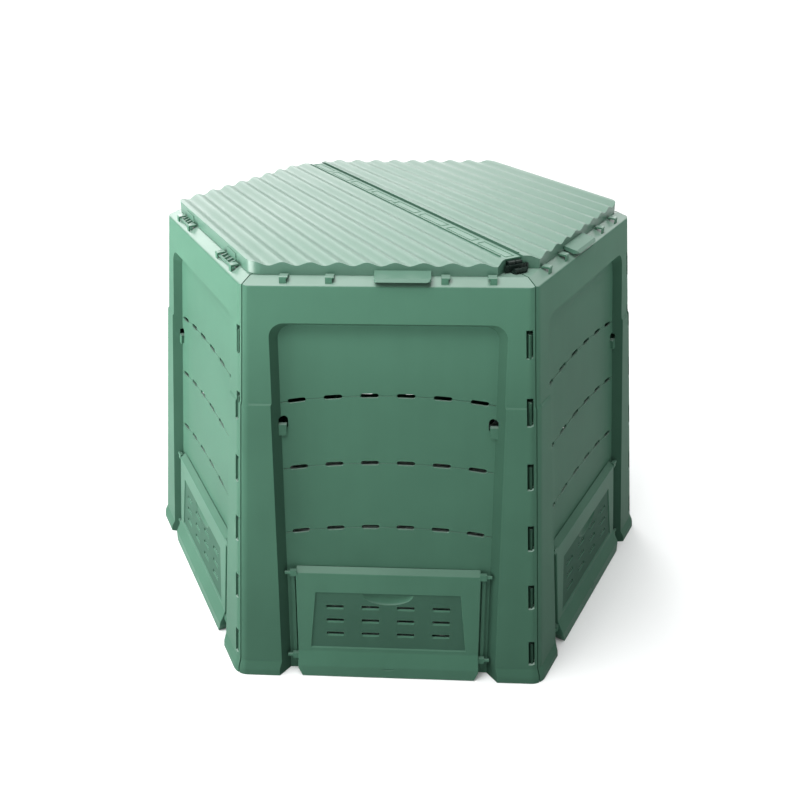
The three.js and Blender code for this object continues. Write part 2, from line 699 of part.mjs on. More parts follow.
// Clip: stands on the rim's corner, with a spigot that fills the bar's hollow end and a round
// cross-piece on a thin tongue.
const CLIP_SPIGOT = 18;
const CLIP_NECK = 10;
const CLIP_TONGUE = 24;
const CLIP_TONGUE_HEIGHT = 3;
const CLIP_ROLLER_RADIUS = 5;
const CLIP_ROLLER_LENGTH = 25;

function barClip() {
  const half = BAR_HALF_WIDTH - BAR_WALL - SEAT_GAP;
  const top = BAR_TOP - BAR_WALL - SEAT_GAP;
  const end = BAR_HALF_LENGTH;
  const foot = RIM_RISE + SEAT_GAP;
  const outline = [
    [end - CLIP_SPIGOT, foot],
    [end - CLIP_SPIGOT, top],
    [end + CLIP_NECK, top],
    [end + CLIP_NECK, foot + CLIP_TONGUE_HEIGHT],
    [end + CLIP_TONGUE, foot + CLIP_TONGUE_HEIGHT],
    [end + CLIP_TONGUE, foot],
  ];
  const frame = new THREE.Matrix4().makeTranslation(0, 0, RIM_HEIGHT);
  const roller = new THREE.CylinderGeometry(
    CLIP_ROLLER_RADIUS, CLIP_ROLLER_RADIUS, CLIP_ROLLER_LENGTH, 12,
  );
  roller.translate(end + CLIP_TONGUE, 0, foot + CLIP_ROLLER_RADIUS);
  return inwardPrism(outline, -half, half, frame).add(solid(roller.applyMatrix4(frame)));
}

// Lid half, drawn with its hinge edge to the front: a corrugated sheet with a skirt all round,
// rounded at the two outer corners and cut off at the two that meet the crossbar's ends.
const WAVES = 9;
const WAVE_STEPS = 6;
const HINGE_FLAT = 7;
const FREE_FLAT = 8;
const FREE_GAP = 1.5;
const LID_RADIUS = 36;
const LID_CUT = 30;
const LIP_WIDTH = 2.5;
const LIP_RAISE = 2;
const RIB_COUNT = 4;
const RIB_THICKNESS = 3;
const RIB_PITCH = 16;
const RIB_RADIUS = 2.8;
const RIB_HEIGHT = 5;
const ROD_OVER = 2;
const PAD_PROUD = 1.5;

function lidOutline(inset) {
  const hinge = LID_APOTHEM - inset;
  const free = BAR_HALF_WIDTH + FREE_GAP + inset;
  const radius = LID_RADIUS - inset;
  const halfHinge = hinge * Math.tan(HALF_SECTOR);
  const tangent = radius * Math.tan(HALF_SECTOR);
  const corner = [halfHinge - tangent, radius - hinge];
  const halfFree = hinge / Math.cos(HALF_SECTOR) - free * Math.tan(HALF_SECTOR);
  const back = LID_CUT - inset;
  const right = [
    ...arc(corner, radius, -Math.PI / 2, -Math.PI / 2 + SECTOR, 6),
    [halfFree - back * Math.sin(HALF_SECTOR), -free - back * Math.cos(HALF_SECTOR)],
    [halfFree - back, -free],
  ];
  const left = right.map(([x, y]) => [-x, y]).reverse();
  return [...right, ...left];
}

// What lies under the corrugated surface, lowered by drop.
function underWaves(drop) {
  const hinge = -LID_APOTHEM;
  const free = -BAR_HALF_WIDTH - FREE_GAP;
  const first = hinge + HINGE_FLAT;
  const pitch = (free - FREE_FLAT - first) / WAVES;
  const points = [[hinge - OVERRUN, -OVERRUN], [hinge - OVERRUN, LID_CREST - drop]];
  for (let i = 0; i <= WAVES * WAVE_STEPS; i += 1) {
    const turn = (2 * Math.PI * i) / WAVE_STEPS;
    const height = LID_TROUGH + (WAVE_DEPTH * (1 + Math.cos(turn))) / 2;
    points.push([first + (pitch * i) / WAVE_STEPS, height - drop]);
  }
  points.push([free + OVERRUN, LID_CREST - drop], [free + OVERRUN, -OVERRUN]);
  const top = new THREE.Matrix4().makeTranslation(0, 0, RIM_HEIGHT);
  return sidewaysPrism(points, -2 * LID_APOTHEM, 2 * LID_APOTHEM, top);
}

function lidShell() {
  const foot = RIM_HEIGHT + SKIRT_FOOT;
  const top = RIM_HEIGHT + LID_CREST + OVERRUN;
  const outer = uprightPrism(lidOutline(0), foot, top).intersect(underWaves(0));
  const inner = uprightPrism(lidOutline(LID_SHEET), foot - OVERRUN, top).intersect(underWaves(LID_SHEET));
  const free = -BAR_HALF_WIDTH - FREE_GAP;
  const half = lidOutline(0).reduce((most, [x]) => Math.max(most, x), 0) - LID_CUT;
  const lip = box(
    [-half, half],
    [free - LIP_WIDTH, free],
    [LID_CREST - LID_SHEET / 2, LID_CREST + LIP_RAISE],
    new THREE.Matrix4().makeTranslation(0, 0, RIM_HEIGHT),
  );
  return outer.subtract(inner).add(lip);
}

// The pairs of posts that hold a lid half's two hinge rods.
const HINGE_PAIRS = [
  [POST_PLACES[0], POST_PLACES[1]],
  [POST_PLACES[2], POST_PLACES[3]],
];

// A rib that carries a hinge rod on the skirt and stays clear of the rim's slope.
function hingeRib(x) {
  const skirt = RIM_APOTHEM - LID_APOTHEM;
  const foot = SKIRT_FOOT + SEAT_GAP;
  const low = [
    HINGE_INSET + RIB_RADIUS * Math.sin(RIM_PITCH),
    HINGE_RISE - RIB_RADIUS * Math.cos(RIM_PITCH),
  ];
  const outline = [
    ...arc([HINGE_INSET, HINGE_RISE], RIB_RADIUS, Math.PI / 2, 1.5 * Math.PI + RIM_PITCH, 5),
    [low[0] + (foot - low[1]) / Math.tan(RIM_PITCH), foot],
    [skirt + LID_SHEET / 2, foot],
    [skirt + LID_SHEET / 2, foot + RIB_HEIGHT],
    [skirt, foot + RIB_HEIGHT],
  ];
  return sidewaysPrism(outline, x - RIB_THICKNESS / 2, x + RIB_THICKNESS / 2, RIM);
}

function lidHinge([first, second]) {
  const skirt = RIM_APOTHEM - LID_APOTHEM;
  const over = POST_WIDTH / 2 + ROD_OVER;
  const parts = [rod(ROD_RADIUS, [first - over, second + over], HINGE_INSET, HINGE_RISE, RIM)];
  for (let i = 0; i < RIB_COUNT; i += 1) {
    parts.push(hingeRib((first + second) / 2 + (i - (RIB_COUNT - 1) / 2) * RIB_PITCH));
  }
  parts.push(box(
    [first + POST_WIDTH, second - POST_WIDTH],
    [skirt - PAD_PROUD, skirt + LID_SHEET / 2],
    [SKIRT_FOOT, LID_TROUGH],
    RIM,
  ));
  return join(parts);
}

// Grip: a lip of its own on the middle of each free side of a lid half, a little towards the
// crossbar, hollowed underneath for the fingers and held by two tabs through the skirt.
const GRIP_OFFSET = 26;
const GRIP_LENGTH = 98;
const GRIP_REACH = 31;
const GRIP_TOP = 22;
const GRIP_DROP = 6;
const GRIP_THICKNESS = 7;
const GRIP_NOSE = 5;
const GRIP_FOOT = 8;
const GRIP_RADIUS = 9;
const TAB_WIDTH = 14;
const TAB_HEIGHT = 4;
const TAB_SPREAD = 28;

const SKIRT = new THREE.Matrix4().makeTranslation(0, -LID_APOTHEM, RIM_HEIGHT);

function gripTabs(x, clearance) {
  const mid = GRIP_TOP - GRIP_THICKNESS / 2;
  return join([-TAB_SPREAD, TAB_SPREAD].map((shift) => box(
    [x + shift - TAB_WIDTH / 2 - clearance, x + shift + TAB_WIDTH / 2 + clearance],
    [-GRIP_THICKNESS / 2, 2 * LID_SHEET + clearance],
    [mid - TAB_HEIGHT / 2 - clearance, mid + TAB_HEIGHT / 2 + clearance],
    SKIRT,
  )));
}

function lidGrip(x) {
  const root = -SEAT_GAP;
  const nose = -GRIP_REACH;
  const outline = [
    [root, GRIP_TOP],
    [nose + GRIP_NOSE, GRIP_TOP - GRIP_DROP],
    [nose, GRIP_TOP - GRIP_DROP - GRIP_NOSE],
    [nose, GRIP_FOOT],
    [nose + GRIP_NOSE, GRIP_FOOT],
    [nose + 2 * GRIP_NOSE, GRIP_TOP - GRIP_DROP - GRIP_THICKNESS],
    [root, GRIP_TOP - GRIP_THICKNESS],
  ];
  const half = GRIP_LENGTH / 2;
  const corner = [half - GRIP_RADIUS, GRIP_RADIUS - GRIP_REACH];
  const right = [...arc(corner, GRIP_RADIUS, -Math.PI / 2, 0, 4), [half, OVERRUN]];
  const left = right.map(([a, b]) => [-a, b]).reverse();
  const plan = [...right, ...left].map(([a, b]) => [x + a, b]);
  return sidewaysPrism(outline, x - half, x + half, SKIRT)
    .intersect(uprightPrism(plan, 0, LID_CREST, SKIRT))
    .add(gripTabs(x, 0));
}

function turned(shape, stations) {
  return solid(geometryOf(shape).applyMatrix4(new THREE.Matrix4().makeRotationZ(stations * SECTOR)));
}

// The lid half's two other sides lie one sector round from its hinge edge, to the right and left.
function lidHalf() {
  return lidShell()
    .add(join(HINGE_PAIRS.map(lidHinge)))
    .subtract(turned(gripTabs(GRIP_OFFSET, SEAT_GAP), 1))
    .subtract(turned(gripTabs(-GRIP_OFFSET, SEAT_GAP), -1));
}

function named(name, geometry, finish) {
  const mesh = new THREE.Mesh(geometry, new THREE.MeshStandardMaterial(finish));
  mesh.name = name;
  return mesh;
}

function standing(station, ...meshes) {
  const group = new THREE.Group();
  group.rotation.z = station * SECTOR;
  group.add(...meshes);
  return group;
}

const bin = new THREE.Group();

const panelGeometry = geometryOf(sidePanel());
const doorGeometry = geometryOf(slidingDoor());
for (const [place, station] of Object.entries(STATIONS)) {
  bin.add(standing(
    station,
    named(`side_panel_${place}`, panelGeometry, PLASTIC.panel),
    named(`door_${place}`, doorGeometry, PLASTIC.door),
  ));
}

const lidGeometry = geometryOf(lidHalf());
const nearGrip = geometryOf(lidGrip(GRIP_OFFSET));
const farGrip = geometryOf(lidGrip(-GRIP_OFFSET));
for (const [half, hingeSide] of [['left', STATIONS.front_left], ['right', STATIONS.back_right]]) {
  bin.add(standing(hingeSide, named(`lid_${half}`, lidGeometry, PLASTIC.lid)));
  bin.add(standing(hingeSide + 1, named(`lid_grip_${half}_1`, nearGrip, PLASTIC.lid)));
  bin.add(standing(hingeSide - 1, named(`lid_grip_${half}_2`, farGrip, PLASTIC.lid)));
}

const clipGeometry = geometryOf(barClip());
bin.add(standing(
  STATIONS.front_left,
  named('crossbar', geometryOf(crossbar()), PLASTIC.bar),
  named('crossbar_clip_front', clipGeometry, PLASTIC.clip),
));
bin.add(standing(STATIONS.back_right, named('crossbar_clip_back', clipGeometry, PLASTIC.clip)));

export default bin;
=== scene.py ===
from math import asin, atan2, cos, hypot, pi, radians, sin, tan

import bmesh
import bpy
from mathutils import Matrix, Vector


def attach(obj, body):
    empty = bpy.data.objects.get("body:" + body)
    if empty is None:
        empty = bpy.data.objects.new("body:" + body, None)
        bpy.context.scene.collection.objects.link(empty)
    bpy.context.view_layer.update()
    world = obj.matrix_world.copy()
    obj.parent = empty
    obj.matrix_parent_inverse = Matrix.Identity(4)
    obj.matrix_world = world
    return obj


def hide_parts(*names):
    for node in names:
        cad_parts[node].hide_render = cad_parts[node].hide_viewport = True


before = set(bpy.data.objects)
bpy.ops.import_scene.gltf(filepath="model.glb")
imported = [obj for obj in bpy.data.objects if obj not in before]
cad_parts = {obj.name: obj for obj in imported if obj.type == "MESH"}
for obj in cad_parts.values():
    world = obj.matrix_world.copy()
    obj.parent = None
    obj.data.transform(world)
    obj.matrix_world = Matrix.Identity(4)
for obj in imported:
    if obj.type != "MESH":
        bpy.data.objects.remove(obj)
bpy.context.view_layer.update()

# The camera stands in front of the bin, half a metre above its rim, and looks down on the lid.
# Its place, aim and lens were fitted to the corners of the rim and of the foot.
EYE = Vector((0.0536, -1.7616, 1.3040))
YAW, PITCH, ROLL = radians(-3.203), radians(-21.743), radians(-0.635)
FOCAL_LENGTH_PX = 825.8
IMAGE_WIDTH_PX = 800
AIM_PX = (375.6, 299.7)

ahead = Vector((sin(YAW) * cos(PITCH), cos(YAW) * cos(PITCH), sin(PITCH)))
level = Vector((cos(YAW), -sin(YAW), 0))
upward = level.cross(ahead)
rightward = cos(ROLL) * level + sin(ROLL) * upward
topward = cos(ROLL) * upward - sin(ROLL) * level

camera = bpy.data.objects.new("camera", bpy.data.cameras.new("camera"))
camera.matrix_world = Matrix((rightward, topward, -ahead)).transposed().to_4x4()
camera.location = EYE
camera.data.lens = camera.data.sensor_width * FOCAL_LENGTH_PX / IMAGE_WIDTH_PX
camera.data.shift_x = 0.5 - AIM_PX[0] / IMAGE_WIDTH_PX
camera.data.shift_y = AIM_PX[1] / IMAGE_WIDTH_PX - 0.5
bpy.context.scene.collection.objects.link(camera)
bpy.context.scene.camera = camera


# The floor and the light: a pale floor under a soft white surround, with broad light from above
# and from behind. Softboxes hang before the bin's front and behind its right side, one stands
# low on the left, and a wide white screen behind is mirrored in the lid and the rim.
FLOOR_REACH = 150.0
FLOOR_SQUARES = 12
FLOOR_DROP = 0.0005
FLOOR_COLOUR = (0.82, 0.83, 0.83, 1)
FLOOR_ROUGHNESS = 0.9
SURROUND_LIGHT = 0.30
SUNS = {
    "top_light": {"from": (-0.15, -0.10, 1.0), "strength": 2.6, "softness": radians(60)},
    "back_light": {"from": (-0.30, 0.80, 0.46), "strength": 1.15, "softness": radians(38)},
}
SOFTBOXES = {
    "front_box": {
        "at": (-0.60, -1.10, 2.05), "aim": (0.0, -0.44, 0.75),
        "size": (0.9, 0.9), "power": 18.0,
    },
    "left_box": {
        "at": (-1.90, -0.70, 0.42), "aim": (-0.42, -0.24, 0.45),
        "size": (1.2, 0.8), "power": 50.0,
    },
    "right_box": {
        "at": (1.00, 1.75, 1.35), "aim": (0.30, 0.15, 0.83),
        "size": (2.2, 1.2), "power": 8.5,
    },
    "back_screen": {
        "at": (0.0, 5.0, 1.4), "aim": (0.0, 0.0, 0.8),
        "size": (12.0, 3.0), "power": 115.0,
    },
}

floor_shape = bmesh.new()
bmesh.ops.create_grid(floor_shape, x_segments=FLOOR_SQUARES, y_segments=FLOOR_SQUARES, size=FLOOR_REACH)
floor_mesh = bpy.data.meshes.new("floor")
floor_shape.to_mesh(floor_mesh)
floor_shape.free()
floor = bpy.data.objects.new("floor", floor_mesh)
floor.location.z = -FLOOR_DROP
bpy.context.scene.collection.objects.link(floor)
floor_paint = bpy.data.materials.new("floor_paint")
floor_paint.use_nodes = True
floor_finish = floor_paint.node_tree.nodes["Principled BSDF"]
floor_finish.inputs["Base Color"].default_value = FLOOR_COLOUR
floor_finish.inputs["Roughness"].default_value = FLOOR_ROUGHNESS
floor.data.materials.append(floor_paint)

surround = bpy.data.worlds.new("surround")
surround.use_nodes = True
sky = surround.node_tree.nodes["Background"]
sky.inputs["Color"].default_value = (1, 1, 1, 1)
sky.inputs["Strength"].default_value = SURROUND_LIGHT
bpy.context.scene.world = surround

for name, light in SUNS.items():
    sun = bpy.data.lights.new(name, "SUN")
    sun.energy = light["strength"]
    sun.angle = light["softness"]
    holder = bpy.data.objects.new(name, sun)
    holder.rotation_euler = Vector(light["from"]).to_track_quat("Z", "Y").to_euler()
    bpy.context.scene.collection.objects.link(holder)
for name, light in SOFTBOXES.items():
    box = bpy.data.lights.new(name, "AREA")
    box.shape = "RECTANGLE"
    box.size, box.size_y = light["size"]
    box.energy = light["power"]
    holder = bpy.data.objects.new(name, box)
    holder.location = light["at"]
    towards = Vector(light["at"]) - Vector(light["aim"])
    holder.rotation_euler = towards.to_track_quat("Z", "Y").to_euler()
    holder.visible_camera = False
    bpy.context.scene.collection.objects.link(holder)
bpy.context.scene.view_settings.view_transform = "Standard"


# Side panels: six alike injection mouldings in green polypropylene, 4 mm thick, that lean in as
# they rise and turn in at the rim. Each has a recess with three arched rows of air slots, door
# rails and catches. Hooks on one edge grip windows in the next panel, and posts take the lid.
RIM_HEIGHT = 0.800
RIM_APOTHEM = 0.441
FOOT_APOTHEM = 0.514
WALL = 0.004
GAP = 0.0003
OVER = 0.006
WELD = 2e-6
FLAT_TURN = radians(0.3)
CREASE = radians(32)
LEAN = (FOOT_APOTHEM - RIM_APOTHEM) / RIM_HEIGHT
HALF_SECTOR = pi / 6
SECTOR = 2 * HALF_SECTOR
FOOT_HALF_WIDTH = FOOT_APOTHEM * tan(HALF_SECTOR)
STATIONS = {"front": 0, "front_right": 1, "back_right": 2, "back": 3, "back_left": 4, "front_left": 5}

CORNER_RADIUS = 0.028
CORNER_SWEEP = 1.1
SEAM_DEPTH = 0.032
SEAM_GAP = 0.0011
FOOT_FLARE = 0.008
FOOT_BAND = 0.013
FOOT_TOP = 0.028
KNEE_STEP = 0.0025
KNEE = (0.5765, 0.5815)
BEND_REACH = 0.002
BEND_EASE = 0.001
BEND_DEPTH = 0.0003
FOOT_BEND_DEPTH = 0.0004
RIM_RADIUS = 0.005
RIM_SLOPE = 0.022
RIM_RISE = 0.0117
RIM_WIDTH = 0.044
RIM_PITCH = atan2(RIM_RISE, RIM_SLOPE)
RIM_TURN = pi / 2 - RIM_PITCH

RECESS_HALF_WIDTH = 0.209
RECESS_TOP = 0.733
RECESS_CORNER = 0.026
RECESS_DEPTH = 0.018
RECESS_DRAFT = 0.014
RECESS_TOP_DRAFT = 0.010
RECESS_BEND = (0.148, 0.0013)
PANEL_GREENS = ((0.035, 0.086, 0.058), (0.070, 0.170, 0.115))
# A darker green painted on the recess walls and on the hooks in the windows, as painted shade.
PAINTED_SHADE_GREENS = ((0.020, 0.050, 0.034), (0.040, 0.100, 0.066))
ACROSS = 0.5
DOWNWARD = -0.4
OUTWARD = -0.2
EDGE_MARGIN = 0.001
WALL_MARGIN = 0.0005
# Pale colour for faces that look up: part dust, part painted light and reflection from above.
DUST_AND_TOP_LIGHT = (0.30, 0.40, 0.35)
CLOUD_SCALE = 5.0
STREAK_SCALE = 2.0
STREAK_STRETCH = (14, 14, 1.5)
GRAIN_SCALE = 900.0
GRAIN_DEPTH = 0.00006
GRAIN_STRENGTH = 0.35
OWN_SHIFT = 9
WASH_ROUGHNESS = 0.28

SLOT_PITCH = 0.0664
SLOT_SIZE = (0.034, 0.0088)
SLOTS_IN_ROW = 6
ROW_HEIGHTS = (0.590, 0.456, 0.322)
ROW_ARCH = 1.250
GROOVE = (0.0016, 0.0007)

HATCH_HALF_WIDTH = 0.160
HATCH_HEIGHTS = (0.016, 0.214)
RAIL = (0.181, 0.188)
RAIL_PROUD = 0.007
RAIL_TOP = 0.216
CATCH_INNER = 0.186
CATCH_PROUD = 0.0065
CATCH_HEIGHTS = (0.512, 0.533, 0.549)
CATCH_ROUND = 0.006
HOLE_OVERLAP = 0.003
HOLE_TOE = ((0.0, 0.006), (0.002, 0.009), (0.0028, 0.0))
HOLE_SLOPE = 0.006
HOLE_ROUND = 0.008
SKIM = 0.0002

HOOK_WINDOW_FEET = [0.6715 - 0.1265 * i for i in range(6)]
WINDOW_SIZE = (0.019, 0.053)
WINDOW_STRIP = (0.007, 0.006)
WINDOW_DEPTH = 0.015
WINDOW_SILL = 0.004
HOOK_HEIGHT = 0.044
HOOK_REACH = 0.0115
HOOK_THICKNESS = 0.0035
HOOK_FROM_CORNER = (0.006, 0.014)
TONGUE_FROM_CORNER = (0.020, 0.026)
TONGUE_ROOT = 0.003

POST_PLACES = (-0.180, -0.100, 0.100, 0.180)
POST_WIDTH = 0.015
POST_DEPTHS = (0.0055, 0.0222)
POST_STEM = 0.0021
POST_CAP = 0.0033
POST_EDGE = 0.0015
POST_NOTCH = 0.0045
HINGE_INSET = 0.0105
HINGE_OVER_SLOPE = 0.0042
HINGE_RISE = RIM_RISE * HINGE_INSET / RIM_SLOPE + HINGE_OVER_SLOPE
POST_OVER_HINGE = 0.0062
POST_TOP = HINGE_RISE + POST_OVER_HINGE


def face(x, depth, z):
    """A point of a panel: across it, inwards from its outer face, and above the ground."""
    return Vector((x, depth + LEAN * z - FOOT_APOTHEM, z))


def rim(x, depth, z):
    """A point on the rim: along it, inwards from its outer edge, and above it."""
    return Vector((x, depth - RIM_APOTHEM, z + RIM_HEIGHT))


def plan(x, y, z):
    return Vector((x, y, z))


def corner(side):
    """Points round a panel's leaning corner line, on its right (1) or left (-1) edge."""
    return lambda x, depth, z: face(side * (FOOT_HALF_WIDTH + x - LEAN * tan(HALF_SECTOR) * z), depth, z)


def arc(centre, radius, start, end, steps):
    turns = [start + (end - start) * i / steps for i in range(steps + 1)]
    return [(centre[0] + radius * cos(a), centre[1] + radius * sin(a)) for a in turns]


def upright(outline, low, high, put=plan):
    return [[put(a, b, z) for a, b in outline] for z in (low, high)]


def lengthways(outline, left, right, put):
    return [[put(x, a, b) for a, b in outline] for x in (left, right)]


def inward(outline, front, back, put):
    return [[put(a, depth, b) for a, b in outline] for depth in (front, back)]


def brick(across, depths, heights, put):
    (left, right), (front, back) = across, depths
    return upright([(left, front), (right, front), (right, back), (left, back)], *heights, put)


def sided(side, near, far):
    return (near, far) if side > 0 else (-far, -near)


def circle(centre, radius, facets):
    return arc(centre, radius, 0, 2 * pi * (1 - 1 / facets), facets - 1)


def rod(radius, left, right, depth, z, put):
    return lengthways(circle((depth, z), radius, 20), left, right, put)


def moulding(name, *bodies):
    """An object of closed bodies, each a run of rings of points with its two ends filled."""
    shape = bmesh.new()
    for rings in bodies:
        loops = [[shape.verts.new(point) for point in ring] for ring in rings]
        for near, far in zip(loops, loops[1:]):
            for i in range(len(near)):
                shape.faces.new((near[i - 1], near[i], far[i], far[i - 1]))
        shape.faces.new(loops[0])
        shape.faces.new(loops[-1])
    bmesh.ops.recalc_face_normals(shape, faces=shape.faces)
    mesh = bpy.data.meshes.new(name)
    shape.to_mesh(mesh)
    shape.free()
    made = bpy.data.objects.new(name, mesh)
    bpy.context.scene.collection.objects.link(made)
    return made


def settled(piece):
    """Makes the modifiers' work part of the mesh."""
    bpy.context.view_layer.update()
    graph = bpy.context.evaluated_depsgraph_get()
    mesh = bpy.data.meshes.new_from_object(piece.evaluated_get(graph))
    mesh.materials.clear()
    piece.modifiers.clear()
    piece.data = mesh


def worked(piece, how, *tools):
    """Cuts, joins or keeps a piece by tool pieces, which are used up."""
    for tool in tools:
        step = piece.modifiers.new(how, "BOOLEAN")
        step.operation = how
        step.solver = "MANIFOLD"
        step.object = tool
    settled(piece)
    for tool in tools:
        bpy.data.objects.remove(tool)
    return piece


def cut(piece, *tools):
    return worked(piece, "DIFFERENCE", *tools)


def joined(piece, *tools):
    return worked(piece, "UNION", *tools)


def kept_in(piece, *tools):
    return worked(piece, "INTERSECT", *tools)


def flats_cleaned(piece):
    """Merges the flat triangles that cuts leave, so that edges can be rounded."""
    shape = bmesh.new()
    shape.from_mesh(piece.data)
    bmesh.ops.remove_doubles(shape, verts=shape.verts, dist=WELD)
    bmesh.ops.dissolve_limit(shape, angle_limit=FLAT_TURN, verts=shape.verts, edges=shape.edges)
    shape.to_mesh(piece.data)
    shape.free()


def rounded(piece, width, sharpest, bluntest=pi, segments=2):
    """Rounds each edge whose faces turn by an angle in the given range."""
    flats_cleaned(piece)
    shape = bmesh.new()
    shape.from_mesh(piece.data)
    weight = shape.edges.layers.float.new("bevel_weight_edge")
    for edge in shape.edges:
        if edge.is_manifold and sharpest < edge.calc_face_angle() < bluntest:
            edge[weight] = 1
    shape.to_mesh(piece.data)
    shape.free()
    step = piece.modifiers.new("rounded", "BEVEL")
    step.limit_method = "WEIGHT"
    step.width = width
    step.segments = segments
    step.use_clamp_overlap = True
    settled(piece)
    return piece


def placed(pattern, name, station, body, node):
    """A copy of a piece at its station round the bin, shaded smooth up to its creases."""
    pattern.data.shade_smooth()
    pattern.data.set_sharp_from_angle(angle=CREASE)
    piece = bpy.data.objects.new(name, pattern.data.copy())
    piece.data.transform(Matrix.Rotation(station * SECTOR, 4, "Z"))
    step = piece.modifiers.new("even_shading", "WEIGHTED_NORMAL")
    step.keep_sharp = True
    bpy.context.scene.collection.objects.link(piece)
    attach(piece, body)
    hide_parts(node)


def wedge(inset, low, high):
    """The sixth of the plan that belongs to a panel, set in from both of its mitre planes."""
    reach = 2 * FOOT_APOTHEM
    half = reach * tan(HALF_SECTOR) - inset / cos(HALF_SECTOR)
    outline = [(0, -inset / sin(HALF_SECTOR)), (-half, -reach), (half, -reach)]
    return moulding("wedge", upright(outline, low, high))


def skin_line(inset):
    """The panel's outer line from the foot to the rim, with its flare and its knee."""
    flare = inset - FOOT_FLARE
    proud = inset - KNEE_STEP
    low, high = KNEE
    return [
        (flare, FOOT_BAND - BEND_REACH), (flare + BEND_DEPTH, FOOT_BAND + BEND_EASE),
        (proud - FOOT_BEND_DEPTH, FOOT_TOP - BEND_EASE), (proud, FOOT_TOP + BEND_REACH),
        (proud, low - BEND_REACH), (proud + BEND_DEPTH, low + BEND_EASE),
        (inset - BEND_DEPTH, high - BEND_EASE), (inset, high + BEND_REACH),
    ]


def skin_ledge(inset):
    """Where the panel's line turns level at the top of the rim's slope, and where it ends."""
    rise = RIM_RISE - inset
    start = RIM_SLOPE + inset * tan(RIM_PITCH / 2) - LEAN * rise
    return [(start, RIM_HEIGHT + rise), (SEAM_DEPTH + inset, RIM_HEIGHT + rise)]


def outer_skin():
    bend = arc((RIM_RADIUS, RIM_HEIGHT - RIM_RADIUS * tan(RIM_TURN / 2)), RIM_RADIUS, pi, pi - RIM_TURN, 8)
    line = [(-FOOT_FLARE, 0), *skin_line(0), *bend, *skin_ledge(0), (SEAM_DEPTH, 0)]
    return moulding("skin", lengthways(line, -FOOT_APOTHEM, FOOT_APOTHEM, face))


def inner_space():
    line = [(WALL - FOOT_FLARE, -OVER), *skin_line(WALL), (WALL, RIM_HEIGHT - WALL * tan(RIM_TURN / 2))]
    line += [*skin_ledge(WALL), (SEAM_DEPTH + WALL, -OVER)]
    return moulding("space", lengthways(line, -FOOT_APOTHEM, FOOT_APOTHEM, face))


def outside_corner(side, inset):
    """What lies outside a panel's rounded corner, from the flared foot to the rim."""
    centre = (-CORNER_RADIUS * tan(HALF_SECTOR), CORNER_RADIUS)
    turn = CORNER_SWEEP * HALF_SECTOR - pi / 2

    def ring(proud, z):
        radius = CORNER_RADIUS + proud - inset
        reach = radius / cos(HALF_SECTOR) + 2 * OVER
        line = arc(centre, radius, -pi / 2, turn, 4)
        line.append((centre[0] + reach * cos(turn), centre[1] + reach * sin(turn)))
        line.append((centre[0], centre[1] - radius - OVER))
        return [corner(side)(x, depth, z) for x, depth in line]

    heights = [(-OVER, FOOT_FLARE), (FOOT_BAND - BEND_REACH, FOOT_FLARE)]
    heights += [(z, -depth) for depth, z in skin_line(0)]
    heights += [(RIM_HEIGHT + RIM_RISE + OVER, 0)]
    return moulding("outside_corner", [ring(proud, z) for z, proud in sorted(set(heights))])


def recess(grow):
    """The recess as a solid, with drafted sides and a floor that bends forward at both sides."""
    slope = RECESS_DRAFT / RECESS_DEPTH
    side = grow * hypot(1, slope)
    deep = RECESS_DEPTH + grow
    half = RECESS_HALF_WIDTH + side - slope * deep
    top_slope = RECESS_TOP_DRAFT / RECESS_DEPTH
    top = RECESS_TOP + side - top_slope * deep
    flare = slope * (deep + OVER + FOOT_FLARE)
    r = RECESS_CORNER
    line = [(-half, -OVER), (half, -OVER), *arc((half - r, top - r), r, 0, pi / 2, 8)]
    line += arc((r - half, top - r), r, pi / 2, pi, 8)
    wide, tall = (half + flare) / half, (top + flare * top_slope / slope) / top
    mouth = [face(a * wide, -OVER - FOOT_FLARE, b * tall) for a, b in line]
    tray = moulding("tray", [mouth, [face(a, deep, b) for a, b in line]])
    start, lift = RECESS_BEND
    end = half + OVER
    rise = lift * (end - start) / (half - start)
    for hand in (1, -1):
        strip = [(hand * start, deep), (hand * end, deep - rise), (hand * end, deep + OVER)]
        cut(tray, moulding("bend", upright(strip, -2 * OVER, RIM_HEIGHT, face)))
    return tray


class Amount:
    """A shader socket's value, so that a finish can be written as sums and products."""

    def __init__(self, tree, socket=None):
        self.tree = tree
        self.socket = socket

    def node(self, kind, settings=None, inputs=None, output=0):
        made = self.tree.nodes.new(kind)
        for name, value in (settings or {}).items():
            setattr(made, name, value)
        for key, value in (inputs or {}).items():
            if isinstance(value, Amount):
                self.tree.links.new(value.socket, made.inputs[key])
            else:
                made.inputs[key].default_value = value
        return Amount(self.tree, made.outputs[output])

    def maths(self, operation, first, second=0.0):
        return self.node("ShaderNodeMath", {"operation": operation}, {0: first, 1: second})

    def __add__(self, other):
        return self.maths("ADD", self, other)

    __radd__ = __add__

    def __sub__(self, other):
        return self.maths("SUBTRACT", self, other)

    def __rsub__(self, other):
        return self.maths("SUBTRACT", other, self)

    def __mul__(self, other):
        return self.maths("MULTIPLY", self, other)

    __rmul__ = __mul__

    def between(self, low, high):
        """0 below low, 1 above high, and a soft step in between."""
        settings = {"interpolation_type": "SMOOTHSTEP"}
        return self.node("ShaderNodeMapRange", settings, {"Value": self, "From Min": low, "From Max": high})


